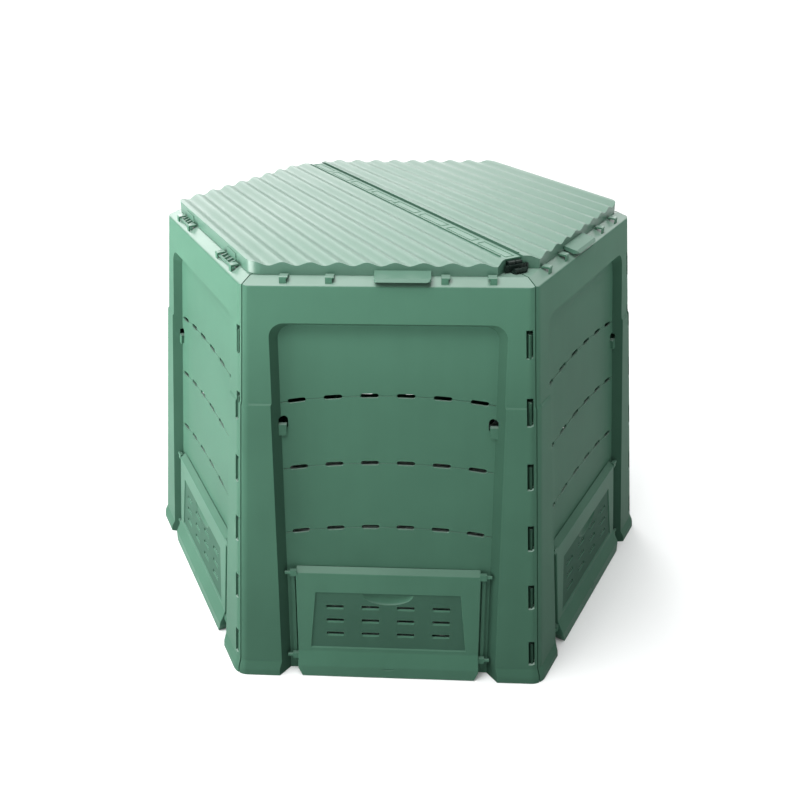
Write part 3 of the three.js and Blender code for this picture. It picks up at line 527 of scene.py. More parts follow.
def moulded_plastic(name, deep, pale, roughness, gloss, dust_and_top_light, sheen=0.0):
    """Satin polypropylene with cloudy pigment, a fine mould grain and faint streaks, and painted light
    that makes it paler with height. The pale share on faces that look up is part dust and part
    painted light from above, and sheen is the wash on faces that look up."""
    material = bpy.data.materials.new(name)
    material.use_nodes = True
    plastic = material.node_tree.nodes["Principled BSDF"]
    start = Amount(material.node_tree)
    where = start.node("ShaderNodeTexCoord", output="Object")
    own = start.node("ShaderNodeObjectInfo", output="Random")
    spot = start.node("ShaderNodeVectorMath", {"operation": "ADD"}, {0: where, 1: own * OWN_SHIFT})
    long = start.node("ShaderNodeVectorMath", {"operation": "MULTIPLY"}, {0: spot, 1: STREAK_STRETCH})
    cloud = start.node("ShaderNodeTexNoise", inputs={"Vector": spot, "Scale": CLOUD_SCALE, "Detail": 4.0})
    streak = start.node("ShaderNodeTexNoise", inputs={"Vector": long, "Scale": STREAK_SCALE, "Detail": 3.0})
    grain = start.node("ShaderNodeTexNoise", inputs={"Vector": spot, "Scale": GRAIN_SCALE, "Detail": 2.0})
    normal = start.node("ShaderNodeTexCoord", output="Normal")
    up = start.node("ShaderNodeSeparateXYZ", inputs={0: normal}, output="Z")
    dust = up.between(0.35, 1.0) * cloud.between(0.3, 0.75)
    height = start.node("ShaderNodeSeparateXYZ", inputs={0: where}, output="Z")
    # Painted light: the colour grows paler with height, standing in for the light from above that falls off
    # towards the foot.
    painted_top_light = 0.5 * height.between(-0.1, 0.7) + 0.5 * height.between(0.55, 0.82)
    shade = 0.52 + 0.85 * (painted_top_light - 0.4) + 0.4 * (cloud - 0.5)
    shade = shade + 0.15 * (streak - 0.5) + 0.1 * (own - 0.5)
    greens = {0: shade, 6: (*deep, 1), 7: (*pale, 1)}
    pigment = start.node("ShaderNodeMix", {"data_type": "RGBA"}, greens, output=2)
    # Pale colour mixed into faces that look up: part dust, part painted light and reflection from above.
    dust_and_top_light_mask = dust_and_top_light * up.between(0.5, 0.95) * (0.6 + 0.4 * cloud.between(0.2, 0.7))
    dust_and_top_light_mix = {0: dust_and_top_light_mask, 6: pigment, 7: (*DUST_AND_TOP_LIGHT, 1)}
    pigment = start.node("ShaderNodeMix", {"data_type": "RGBA"}, dust_and_top_light_mix, output=2)
    material.node_tree.links.new(pigment.socket, plastic.inputs["Base Color"])
    dullness = roughness + 0.03 * (streak - 0.5) + 0.06 * (grain - 0.5) + 0.06 * dust
    material.node_tree.links.new(dullness.socket, plastic.inputs["Roughness"])
    texture = {"Strength": GRAIN_STRENGTH, "Distance": GRAIN_DEPTH, "Height": grain}
    relief = start.node("ShaderNodeBump", inputs=texture)
    material.node_tree.links.new(relief.socket, plastic.inputs["Normal"])
    washed = sheen * up.between(0.45, 0.85)
    material.node_tree.links.new(washed.socket, plastic.inputs["Coat Weight"])
    plastic.inputs["Coat Roughness"].default_value = WASH_ROUGHNESS
    plastic.inputs["Specular IOR Level"].default_value = gloss
    return material


def panel_shell():
    shell = kept_in(outer_skin(), wedge(SEAM_GAP, -OVER, 2 * RIM_HEIGHT))
    cut(shell, outside_corner(1, 0), outside_corner(-1, 0))
    space = kept_in(inner_space(), wedge(GAP + WALL, -OVER, 2 * RIM_HEIGHT))
    cut(space, outside_corner(1, WALL), outside_corner(-1, WALL), recess(WALL))
    cut(shell, space)
    cut(shell, recess(0))
    depths, heights = (SEAM_DEPTH - WALL, RIM_WIDTH), (RIM_RISE - WALL, RIM_RISE)
    ledge = moulding("ledge", brick((-FOOT_APOTHEM, FOOT_APOTHEM), depths, heights, rim))
    joined(shell, kept_in(ledge, wedge(SEAM_GAP, 0, 2 * RIM_HEIGHT)))
    return rounded(shell, width=0.0020, sharpest=radians(25), bluntest=radians(62), segments=4)


def slot_row(height):
    """Six slots with round ends that follow a row's arch."""
    long, tall = SLOT_SIZE
    end = tall / 2
    bodies = []
    for i in range(SLOTS_IN_ROW):
        x = (i - (SLOTS_IN_ROW - 1) / 2) * SLOT_PITCH
        tilt = asin(x / ROW_ARCH)
        z = height + ROW_ARCH * (cos(tilt) - 1)
        line = arc((long / 2 - end, 0), end, -pi / 2, pi / 2, 6)
        line += arc((end - long / 2, 0), end, pi / 2, 3 * pi / 2, 6)
        tilted = [(x + a * cos(tilt) + b * sin(tilt), z - a * sin(tilt) + b * cos(tilt)) for a, b in line]
        bodies.append(inward(tilted, RECESS_DEPTH - OVER, RECESS_DEPTH + WALL + OVER, face))
    return moulding("slots", *bodies)


def groove(height):
    """The fine line between the slots of a row, from one side of the recess to the other."""
    swing = asin((RECESS_HALF_WIDTH - RECESS_DRAFT) / ROW_ARCH)
    low = height - ROW_ARCH
    width, depth = GROOVE
    line = arc((0, low), ROW_ARCH + width / 2, pi / 2 - swing, pi / 2 + swing, 24)
    line += arc((0, low), ROW_ARCH - width / 2, pi / 2 + swing, pi / 2 - swing, 24)
    return moulding("groove", inward(line, RECESS_DEPTH - OVER, RECESS_DEPTH + depth, face))


def rail(side):
    depths = (RECESS_DEPTH - RAIL_PROUD, RECESS_DEPTH + WALL / 2)
    return brick(sided(side, *RAIL), depths, (HATCH_HEIGHTS[0], RAIL_TOP), face)


def recess_side(depth):
    return RECESS_HALF_WIDTH - RECESS_DRAFT * depth / RECESS_DEPTH


def catch_block(side):
    """A stop with a rounded lower end, on which the raised door's pins rest."""
    front = RECESS_DEPTH - CATCH_PROUD
    near, far = CATCH_INNER, recess_side(front) + WALL / 2
    low, high, _ = CATCH_HEIGHTS
    round_end = arc((near + CATCH_ROUND, low + CATCH_ROUND), CATCH_ROUND, pi, 3 * pi / 2, 6)
    line = [(side * a, b) for a, b in [(far, high), (near, high), *round_end, (far, low)]]
    return inward(line, front, RECESS_DEPTH + WALL / 2, face)


def catch_hole(side):
    """The hole above a catch, with a narrow toe that runs down the catch's inner side."""
    near, far = CATCH_INNER - HOLE_OVERLAP, recess_side(RECESS_DEPTH - CATCH_PROUD) + WALL
    _, low, high = CATCH_HEIGHTS
    line = [(near + a, low - b) for a, b in HOLE_TOE] + [(far, low), (far, high - HOLE_SLOPE)]
    line += arc((near + HOLE_ROUND, high - HOLE_ROUND), HOLE_ROUND, pi / 2, pi, 6)
    line = [(side * a, b) for a, b in line]
    return inward(line, RECESS_DEPTH - CATCH_PROUD + SKIM, RECESS_DEPTH + WALL + OVER, face)


def hook_window(foot):
    """A window beside the right corner, open sideways behind the strip left along the seam."""
    wide, tall = WINDOW_SIZE
    strip_wide, strip_deep = WINDOW_STRIP
    out = -OVER - FOOT_FLARE
    line = [(-wide, out), (-strip_wide, out), (-strip_wide, strip_deep), (OVER, strip_deep)]
    line += [(OVER, WINDOW_DEPTH), (-wide, WINDOW_DEPTH)]
    put = corner(1)
    sill = [put(a, b, foot - (WINDOW_SILL if b < 0 else -WINDOW_SILL)) for a, b in line]
    return [sill, [put(a, b, foot + tall) for a, b in line]]


def at_left_seam(along, off, z):
    """A point at the left seam: inwards along it, and off it towards the neighbour."""
    x = -along * sin(HALF_SECTOR) - off * cos(HALF_SECTOR)
    depth = along * cos(HALF_SECTOR) - off * sin(HALF_SECTOR)
    return Matrix.Rotation(-SECTOR, 3, "Z") @ corner(1)(x, depth, z)


def hook(foot):
    """A hook on the left edge, reaching through the neighbour's window and turned outwards."""
    root = GAP + WALL / 2
    near, far = HOOK_FROM_CORNER
    line = [(far, -root), (far, HOOK_REACH), (near, HOOK_REACH), (near, HOOK_REACH - HOOK_THICKNESS)]
    line += [(far - HOOK_THICKNESS, HOOK_REACH - HOOK_THICKNESS), (far - HOOK_THICKNESS, -root)]
    return upright(line, foot + GAP, foot + HOOK_HEIGHT, at_left_seam)


def seam_tongue():
    """A strip inside the left seam that reaches across to the neighbour and keeps light out."""
    near, far = TONGUE_FROM_CORNER
    tip = SEAM_GAP - GAP
    line = [(far, -TONGUE_ROOT), (far, tip), (near, tip), (near, -TONGUE_ROOT)]
    return upright(line, FOOT_TOP, RIM_HEIGHT, at_left_seam)


def slope_line(front, back, sunk):
    """The rim's slope and the ledge behind it, between two depths, sunk into the plastic."""
    top = (RIM_SLOPE, RIM_RISE - sunk)
    return [(front, RIM_RISE * front / RIM_SLOPE - sunk), top, (back, RIM_RISE - sunk)]


def hinge_post(x):
    front, back = POST_DEPTHS
    line = slope_line(front, back, WALL / 2)
    line += [(back, POST_TOP - POST_EDGE), (back - POST_EDGE, POST_TOP)]
    line += [(front + POST_EDGE, POST_TOP), (front, POST_TOP - POST_EDGE)]
    return lengthways(line, x - POST_WIDTH / 2, x + POST_WIDTH / 2, rim)


def post_hollow(x):
    """The space under a post's cap, open towards the lid and sideways, where a hinge rod lies."""
    ends = (x - POST_WIDTH / 2 - OVER, x + POST_WIDTH / 2 + OVER)
    front, back = POST_DEPTHS[0] + POST_STEM, POST_DEPTHS[1] + OVER
    line = slope_line(front, back, WALL / 4) + [(back, POST_TOP - POST_CAP), (front, POST_TOP - POST_CAP)]
    return lengthways(line, *ends, rim)


def post_notch(x):
    """Cuts a post's stem narrower than its cap, on the side where the cap overhangs."""
    hand = -1 if x == POST_PLACES[-1] else 1
    ends = sorted((x + hand * (POST_WIDTH / 2 + OVER), x + hand * POST_NOTCH))
    front, back = POST_DEPTHS[0] - OVER, POST_DEPTHS[1] + OVER
    line = slope_line(front, back, WALL / 4) + [(back, POST_TOP - POST_CAP), (front, POST_TOP - POST_CAP)]
    return lengthways(line, *ends, rim)


panel = panel_shell()
posts = moulding("posts", *[hinge_post(x) for x in POST_PLACES])
cut(posts, *[moulding("hollow", post_hollow(x)) for x in POST_PLACES])
cut(posts, *[moulding("notch", post_notch(x)) for x in POST_PLACES])
joined(panel, posts)
joined(panel, moulding("rails", rail(1), rail(-1), catch_block(1), catch_block(-1)))
hatch_depths = (RECESS_DEPTH - OVER, RECESS_DEPTH + WALL + OVER)
hatch = brick((-HATCH_HALF_WIDTH, HATCH_HALF_WIDTH), hatch_depths, HATCH_HEIGHTS, face)
cut(panel, moulding("hatch", hatch), moulding("catch_holes", catch_hole(1), catch_hole(-1)))
cut(panel, *[groove(height) for height in ROW_HEIGHTS])
cut(panel, *[slot_row(height) for height in ROW_HEIGHTS])
cut(panel, moulding("windows", *[hook_window(foot) for foot in HOOK_WINDOW_FEET]))
joined(panel, moulding("hooks", *[hook(foot) for foot in HOOK_WINDOW_FEET]))
joined(panel, moulding("seam_tongue", seam_tongue()))
rounded(panel, width=0.0007, sharpest=radians(50))
panel.data.materials.append(moulded_plastic("panel_green", *PANEL_GREENS, 0.42, 0.025, dust_and_top_light=0.5, sheen=0.9))
panel.data.materials.append(moulded_plastic("painted_shade_green", *PAINTED_SHADE_GREENS, 0.55, 0.012, dust_and_top_light=0.2))
# The recess's side and top walls, and the hooks beyond the seam, take a darker green: painted shade for the
# shade that falls in the recess and in the hook windows.
for facet in panel.data.polygons:
    x, y, z = facet.center
    depth = y + FOOT_APOTHEM - LEAN * z
    in_recess = abs(x) < RECESS_HALF_WIDTH + EDGE_MARGIN and HATCH_HEIGHTS[1] < z < RECESS_TOP
    behind_face = WALL_MARGIN < depth < RECESS_DEPTH - WALL_MARGIN
    across = abs(facet.normal.x) > ACROSS or facet.normal.z < DOWNWARD
    recess_wall = in_recess and behind_face and across and facet.normal.y < OUTWARD
    beyond_seam = x < y * tan(HALF_SECTOR) - WALL_MARGIN
    facet.material_index = int(recess_wall or beyond_seam)
for place, station in STATIONS.items():
    placed(panel, f"panel_{place}", station, "bin", f"side_panel_{place}")
bpy.data.objects.remove(panel)


# Doors: one lift-up moulding before each emptying hatch, in the same green polypropylene. It has
# a sloping ledge on top, a sunken field of slots, a finger scoop, a flared foot with clipped
# corners, and two lugs on each side with guide pins that run up before the rails.
DOOR_HALF_WIDTH = 0.178
DOOR_FACE = 0.005
DOOR_BACK = 0.017
DOOR_HEIGHT = 0.226
DOOR_LEDGE = 0.009
DOOR_FLARE = 0.011
DOOR_BAND = 0.024
DOOR_SLOPE = 0.026
DOOR_CLIPPED = (0.008, 0.018)
FIELD = {"foot": 0.0595, "top": 0.184, "foot_half": 0.152, "top_half": 0.140, "depth": 0.0018}
FIELD_LEDGE = 0.0024
FIELD_EDGE = 0.0008
DOOR_SLOT_PLACES = [(x, z) for z in (0.151, 0.1205, 0.090) for x in (-0.1035, -0.0345, 0.0345, 0.1035)]
DOOR_SLOT = {"half_width": 0.0168, "top": 0.0040, "corner": 0.0012, "sill": -0.0052, "sill_slope": 1.4}
DOOR_SLOT_DEPTHS = (0.002, 0.0008)
SCOOP = {"half_width": 0.049, "height": 0.023, "depth": 0.008, "top": 0.181}
SCOOP_TURN = radians(88)
SCOOP_STEPS = 11
THUMB_MARK = {"half_width": 0.013, "height": 0.0045, "depth": 0.0016, "top": 0.0215}
LUG_HEIGHTS = (0.038, 0.226)
LUG_END = 0.189
LUG_DEPTHS = (0.004, 0.0107)
LUG_HALF_HEIGHT = 0.006
GUIDE_PIN_END = 0.199
GUIDE_PIN_RADIUS = 0.0032
DOOR_GREENS = ((0.035, 0.092, 0.061), (0.074, 0.176, 0.120))
FIELD_GREENS = ((0.026, 0.062, 0.043), (0.054, 0.126, 0.088))
FIELD_OUTWARD = -0.9
FIELD_MARGIN = 0.0003


def door_line(inset, back, foot):
    low = DOOR_FACE - DOOR_FLARE + inset
    front = DOOR_FACE + inset
    rise = DOOR_LEDGE * (back - front) / (DOOR_BACK - DOOR_FACE)
    return [
        (low, foot), (low, DOOR_BAND), (front, DOOR_BAND + DOOR_SLOPE),
        (front, DOOR_HEIGHT - inset / 2), (back, DOOR_HEIGHT + rise - inset / 2), (back, foot),
    ]


def clipped_corner(side, inset):
    wide, tall = DOOR_CLIPPED
    half = DOOR_HALF_WIDTH - inset
    line = [(half, tall), (half - wide, 0), (half - wide, -2 * OVER), (half + 2 * OVER, -2 * OVER)]
    line += [(half + 2 * OVER, tall)]
    outline = [(side * a, b) for a, b in line]
    return moulding("clipped_corner", inward(outline, -3 * DOOR_FLARE, DOOR_BACK + 2 * OVER, face))


def field_ring(depth):
    """The sunken field's outline at a depth; its foot slopes most, as a light ledge."""
    out = (DOOR_FACE + FIELD["depth"] - depth) / FIELD["depth"]
    foot, top = FIELD["foot"] - FIELD_LEDGE * out, FIELD["top"] + FIELD_EDGE * out
    low, high = FIELD["foot_half"] + FIELD_EDGE * out, FIELD["top_half"] + FIELD_EDGE * out
    return [face(x, depth, z) for x, z in [(-low, foot), (low, foot), (high, top), (-high, top)]]


def door_slot(x, z):
    """A slot whose sill slopes up inwards, so that it catches the light."""
    half, top, r = DOOR_SLOT["half_width"], DOOR_SLOT["top"], DOOR_SLOT["corner"]
    rounds = arc((half - r, top - r), r, 0, pi / 2, 4) + arc((r - half, top - r), r, pi / 2, pi, 4)

    def ring(depth):
        sill = DOOR_SLOT["sill"] + DOOR_SLOT["sill_slope"] * (depth - DOOR_FACE - FIELD["depth"])
        line = rounds + [(-half, sill), (half, sill)]
        return [face(x + a, depth, z + b) for a, b in line]

    before, behind = DOOR_SLOT_DEPTHS
    return [ring(DOOR_FACE - before), ring(DOOR_FACE + WALL + behind)]


def hollow_half_ball(size, depth):
    """The lower half of a flattened ball about a point on the door's surface."""
    rings = []
    for i in range(SCOOP_STEPS + 1):
        a = i * SCOOP_TURN / SCOOP_STEPS
        wide, deep = size["half_width"] * cos(a), size["depth"] * cos(a)
        z = size["top"] - size["height"] * sin(a)
        rings.append([face(wide * x, depth + deep * y, z) for x, y in circle((0, 0), 1, 36)])
    return moulding("scoop", rings)


def lug(side, z):
    ends = sided(side, DOOR_HALF_WIDTH - WALL / 2, LUG_END)
    return brick(ends, LUG_DEPTHS, (z - LUG_HALF_HEIGHT, z + LUG_HALF_HEIGHT), face)


def guide_pin(side, z):
    ends = sided(side, LUG_END - WALL / 2, GUIDE_PIN_END)
    return rod(GUIDE_PIN_RADIUS, *ends, sum(LUG_DEPTHS) / 2, z, face)


door = moulding("door", lengthways(door_line(0, DOOR_BACK, 0), -DOOR_HALF_WIDTH, DOOR_HALF_WIDTH, face))
cut(door, clipped_corner(1, 0), clipped_corner(-1, 0))
rounded(door, width=0.0016, sharpest=radians(20), segments=3)
inner_half = DOOR_HALF_WIDTH - WALL
inner_line = door_line(WALL, DOOR_BACK + OVER, -OVER)
door_hollow = moulding("hollow", lengthways(inner_line, -inner_half, inner_half, face))
cut(door_hollow, clipped_corner(1, WALL), clipped_corner(-1, WALL))
cut(door, door_hollow)
pad_depths = (DOOR_FACE + WALL / 2, DOOR_FACE + FIELD["depth"] + SCOOP["depth"] + WALL / 2)
pad_heights = (SCOOP["top"] - SCOOP["height"] - WALL / 2, SCOOP["top"] + WALL / 2)
pad_half = SCOOP["half_width"] + WALL / 2
joined(door, moulding("scoop_pad", brick((-pad_half, pad_half), pad_depths, pad_heights, face)))
cut(door, moulding("field", [field_ring(DOOR_FACE - OVER), field_ring(DOOR_FACE + FIELD["depth"])]))
cut(door, moulding("slots", *[door_slot(x, z) for x, z in DOOR_SLOT_PLACES]))
cut(door, hollow_half_ball(SCOOP, DOOR_FACE + FIELD["depth"]))
cut(door, hollow_half_ball(THUMB_MARK, DOOR_FACE - DOOR_FLARE))
joined(door, moulding("lugs", *[lug(side, z) for side in (1, -1) for z in LUG_HEIGHTS]))
joined(door, moulding("guide_pins", *[guide_pin(side, z) for side in (1, -1) for z in LUG_HEIGHTS]))
rounded(door, width=0.0005, sharpest=radians(35))
door.data.materials.append(moulded_plastic("door_green", *DOOR_GREENS, 0.40, 0.04, dust_and_top_light=0.12, sheen=0.1))
door.data.materials.append(moulded_plastic("door_field_green", *FIELD_GREENS, 0.55, 0.02, dust_and_top_light=0.2))
# The floor of the sunken field takes the duller green.
for facet in door.data.polygons:
    depth = facet.center.y + FOOT_APOTHEM - LEAN * facet.center.z
    if facet.normal.y < FIELD_OUTWARD and abs(depth - DOOR_FACE - FIELD["depth"]) < FIELD_MARGIN:
        facet.material_index = 1
for place, station in STATIONS.items():
    placed(door, f"lift_door_{place}", station, f"door_{place}", f"door_{place}")
bpy.data.objects.remove(door)


# Crossbar: a hat-shaped moulding in green polypropylene, 3 mm thick, from corner to corner. Its
# brims lie under the lid halves' free edges, and its top stands between them, with a row of
# slightly raised fields and a round boss in the middle.
SKIRT_FOOT = RIM_RISE + GAP
BAR_HALF_WIDTH = 0.017
BAR_TOP = 0.033
BAR_FROM_CORNER = 0.07322
BAR_HALF_LENGTH = RIM_APOTHEM / cos(HALF_SECTOR) - BAR_FROM_CORNER
BAR_WALL = 0.003
BAR_LEDGE_HALF_WIDTH = 0.030
BAR_FIELDS = 8
BAR_FIELD_SIZE = (0.046, 0.009)
BAR_RIB = 0.0014
BAR_RAISE = 0.001
BAR_BOSS_RADIUS = 0.008
BAR_GREENS = ((0.035, 0.098, 0.063), (0.070, 0.185, 0.122))


def above_rim(x, y, z):
    return Vector((x, y, z + RIM_HEIGHT))


bar_ledge = SKIRT_FOOT - GAP
bar_foot = bar_ledge - BAR_WALL
half_profile = [(BAR_LEDGE_HALF_WIDTH, bar_foot), (BAR_LEDGE_HALF_WIDTH, bar_ledge)]
half_profile += [(BAR_HALF_WIDTH, bar_ledge), (BAR_HALF_WIDTH, BAR_TOP)]
bar_profile = half_profile + [(-y, z) for y, z in reversed(half_profile)]
crossbar = moulding("crossbar", lengthways(bar_profile, -BAR_HALF_LENGTH, BAR_HALF_LENGTH, above_rim))
bar_inside = BAR_HALF_WIDTH - BAR_WALL
bar_tunnel = brick(
    (-BAR_HALF_LENGTH - OVER, BAR_HALF_LENGTH + OVER), (-bar_inside, bar_inside),
    (bar_foot - OVER, BAR_TOP - BAR_WALL), above_rim)
cut(crossbar, moulding("tunnel", bar_tunnel))
field_pitch = 2 * BAR_HALF_LENGTH / BAR_FIELDS
raised, sunk = [], []
for i in range(BAR_FIELDS):
    middle = (i - (BAR_FIELDS - 1) / 2) * field_pitch
    long, wide = BAR_FIELD_SIZE
    heights = (BAR_TOP - BAR_RAISE, BAR_TOP + BAR_RAISE)
    raised.append(brick((middle - long, middle + long), (-wide, wide), heights, above_rim))
    heights = (BAR_TOP, BAR_TOP + 2 * BAR_RAISE)
    long, wide = long - BAR_RIB, wide - BAR_RIB
    sunk.append(brick((middle - long, middle + long), (-wide, wide), heights, above_rim))
joined(crossbar, moulding("fields", *raised))
cut(crossbar, moulding("field_floors", *sunk))
boss_line = circle((0, 0), BAR_BOSS_RADIUS, 32)
boss = upright(boss_line, BAR_TOP - BAR_RAISE, BAR_TOP + BAR_RAISE, above_rim)
joined(crossbar, moulding("boss", boss))
rounded(crossbar, width=0.0005, sharpest=radians(50))
crossbar.data.materials.append(moulded_plastic("crossbar_green", *BAR_GREENS, 0.42, 0.15, dust_and_top_light=0.6))
placed(crossbar, "crossbar_moulding", STATIONS["front_left"], "bin", "crossbar")
bpy.data.objects.remove(crossbar)


# Crossbar clips: a near-black plastic moulding pushed into each end of the bar. A toothed plate
# like a comb stands across it, ribs cross its face, and a thin tongue lies on the rim's corner
# and ends in a flanged roller.
CLIP_SPIGOT = 0.018
CLIP_NECK = 0.010
CLIP_TONGUE = 0.024
CLIP_TONGUE_HEIGHT = 0.003
ROLLER_RADIUS = 0.005
ROLLER_HALF_LENGTH = 0.0125
ROLLER_CORE = 0.0009
FLANGE_PLACES = (-0.0115, -0.004, 0.004, 0.0115)
FLANGE_HALF_THICKNESS = 0.0008
FLANGE_INSET = 0.0001
COMB = {"near": 0.0115, "far": 0.0145, "half_width": 0.024, "top": 0.0245}
TOOTH = {"near": 0.0105, "far": 0.0160, "half_width": 0.001, "foot": 0.0150, "top": 0.0255}
TOOTH_PLACES = (-0.0205, -0.0155, 0.0155, 0.0205)
FACE_RIB_HEIGHTS = (0.0165, 0.0205, 0.0240)
FACE_RIB_RADIUS = 0.0012
SLIT = {"near": -0.004, "far": 0.002, "half_width": 0.0011, "foot": 0.0155, "top": 0.040}
CLIP_BLACKS = ((0.003, 0.008, 0.006), (0.009, 0.020, 0.015))

clip_half = BAR_HALF_WIDTH - BAR_WALL - GAP
clip_top = BAR_TOP - BAR_WALL - GAP
end = BAR_HALF_LENGTH
clip_foot = RIM_RISE + GAP
tongue_top = clip_foot + CLIP_TONGUE_HEIGHT
clip_line = [
    (end - CLIP_SPIGOT, clip_foot), (end - CLIP_SPIGOT, clip_top), (end + CLIP_NECK, clip_top),
    (end + CLIP_NECK, tongue_top), (end + CLIP_TONGUE, tongue_top), (end + CLIP_TONGUE, clip_foot),
]
clip = moulding("clip", [[above_rim(x, y, z) for x, z in clip_line] for y in (-clip_half, clip_half)])


def cross_rod(x, z, radius, left, right):
    line = circle((0, 0), radius, 24)
    return [[above_rim(x + a, y, z + b) for a, b in line] for y in (left, right)]


comb_depths = (end + COMB["near"], end + COMB["far"])
comb_ends, comb_heights = (-COMB["half_width"], COMB["half_width"]), (clip_foot + GAP, COMB["top"])
joined(clip, moulding("comb", brick(comb_depths, comb_ends, comb_heights, above_rim)))
tooth_depths = (end + TOOTH["near"], end + TOOTH["far"])
for y in TOOTH_PLACES:
    tooth_ends = (y - TOOTH["half_width"], y + TOOTH["half_width"])
    tooth = brick(tooth_depths, tooth_ends, (TOOTH["foot"], TOOTH["top"]), above_rim)
    joined(clip, moulding("tooth", tooth))
roller_place = (end + CLIP_TONGUE, clip_foot + ROLLER_RADIUS)
core = cross_rod(*roller_place, ROLLER_RADIUS - ROLLER_CORE, -ROLLER_HALF_LENGTH, ROLLER_HALF_LENGTH)
joined(clip, moulding("roller", core))
for y in FLANGE_PLACES:
    flange_ends = (y - FLANGE_HALF_THICKNESS, y + FLANGE_HALF_THICKNESS)
    flange = cross_rod(*roller_place, ROLLER_RADIUS - FLANGE_INSET, *flange_ends)
    joined(clip, moulding("flange", flange))
for z in FACE_RIB_HEIGHTS:
    face_rib = cross_rod(end + CLIP_NECK - FACE_RIB_RADIUS, z, FACE_RIB_RADIUS, -clip_half, clip_half)
    joined(clip, moulding("rib", face_rib))
slit_depths = (end + CLIP_NECK + SLIT["near"], end + CLIP_NECK + SLIT["far"])
slit_ends = (-SLIT["half_width"], SLIT["half_width"])
cut(clip, moulding("slit", brick(slit_depths, slit_ends, (SLIT["foot"], SLIT["top"]), above_rim)))
rounded(clip, width=0.0004, sharpest=radians(50))
clip.data.materials.append(moulded_plastic("clip_black", *CLIP_BLACKS, 0.40, 0.3, dust_and_top_light=0.0))
placed(clip, "bar_clip_front", STATIONS["front_left"], "bin", "crossbar_clip_front")
placed(clip, "bar_clip_back", STATIONS["back_right"], "bin", "crossbar_clip_back")
bpy.data.objects.remove(clip)


# Lid halves: two alike corrugated mouldings in green polypropylene, 3 mm thick, with a
# skirt all round and a thin lip beside the crossbar. Their green is a little paler than the
# panels', as painted light from above. Ribs on the skirt hold two rods, which
# snap into the posts on the rim as a hinge.
LID_APOTHEM = RIM_APOTHEM - 0.024
WAVES = 9
WAVE_STEPS = 18
HINGE_FLAT = 0.007
FREE_FLAT = 0.008
FREE_GAP = 0.0015
LID_RADIUS = 0.036
LID_CUT = 0.030
LIP = (0.0025, 0.002)
LID_CREST = 0.0355
WAVE_DEPTH = 0.0065
LID_TROUGH = LID_CREST - WAVE_DEPTH
LID_SHEET = 0.003
HINGE_ROD_RADIUS = 0.0026
HINGE_ROD_OVER = 0.002
RIBS = 4
RIB_THICKNESS = 0.003
RIB_PITCH = 0.016
RIB_RADIUS = 0.0028
RIB_HEIGHT = 0.005
HINGE_PAD_PROUD = 0.0015
GRIP_OFFSET = 0.026
TAB_HALF_WIDTH = 0.007
TAB_HALF_HEIGHT = 0.002
TAB_SPREAD = 0.028
GRIP_TOP = 0.022
GRIP_THICKNESS = 0.007
# The lid's green is a little paler than the panels', as painted light from above.
LID_GREENS = ((0.037, 0.092, 0.064), (0.079, 0.178, 0.126))
LID_FREE = BAR_HALF_WIDTH + FREE_GAP


def lid_line(inset):
    """The lid half's plan, hinge edge in front: two round corners and two cut ones."""
    hinge, free = LID_APOTHEM - inset, LID_FREE + inset
    radius, back = LID_RADIUS - inset, LID_CUT - inset
    centre = (hinge * tan(HALF_SECTOR) - radius * tan(HALF_SECTOR), radius - hinge)
    half_free = hinge / cos(HALF_SECTOR) - free * tan(HALF_SECTOR)
    right = arc(centre, radius, -pi / 2, SECTOR - pi / 2, 16)
    right.append((half_free - back * sin(HALF_SECTOR), -free - back * cos(HALF_SECTOR)))
    right.append((half_free - back, -free))
    return right + [(-x, y) for x, y in reversed(right)]


def under_waves(drop):
    """Everything below the corrugated surface, lowered by drop."""
    first = HINGE_FLAT - LID_APOTHEM
    pitch = (-LID_FREE - FREE_FLAT - first) / WAVES
    line = [(-LID_APOTHEM - OVER, -OVER), (-LID_APOTHEM - OVER, LID_CREST - drop)]
    for i in range(WAVES * WAVE_STEPS + 1):
        height = LID_TROUGH + WAVE_DEPTH * (1 + cos(2 * pi * i / WAVE_STEPS)) / 2
        line.append((first + pitch * i / WAVE_STEPS, height - drop))
    line += [(OVER - LID_FREE, LID_CREST - drop), (OVER - LID_FREE, -OVER)]
    return moulding("under_waves", lengthways(line, -2 * LID_APOTHEM, 2 * LID_APOTHEM, above_rim))


def hinge_rib(x):
    """A rib that holds a hinge rod on the skirt and keeps clear of the rim's slope."""
    skirt = RIM_APOTHEM - LID_APOTHEM + LID_SHEET / 2
    foot = SKIRT_FOOT + GAP
    line = arc((HINGE_INSET, HINGE_RISE), RIB_RADIUS, pi / 2, 1.5 * pi + RIM_PITCH, 10)
    low_depth, low = line[-1]
    line += [(low_depth + (foot - low) / tan(RIM_PITCH), foot), (skirt, foot), (skirt, foot + RIB_HEIGHT)]
    return lengthways(line, x - RIB_THICKNESS / 2, x + RIB_THICKNESS / 2, rim)


def on_skirt(x, y, z):
    return Vector((x, y - LID_APOTHEM, z + RIM_HEIGHT))


def grip_tabs(x, clearance):
    """The two tabs of a grip, or with a clearance the holes that they need in the skirt."""
    middle = GRIP_TOP - GRIP_THICKNESS / 2
    wide, tall = TAB_HALF_WIDTH + clearance, TAB_HALF_HEIGHT + clearance
    depths, heights = (-GRIP_THICKNESS / 2, 2 * LID_SHEET + clearance), (middle - tall, middle + tall)
    tabs = []
    for shift in (-TAB_SPREAD, TAB_SPREAD):
        tabs.append(brick((x + shift - wide, x + shift + wide), depths, heights, on_skirt))
    return moulding("grip_tabs", *tabs)


def turned(piece, stations):
    piece.data.transform(Matrix.Rotation(stations * SECTOR, 4, "Z"))
    return piece


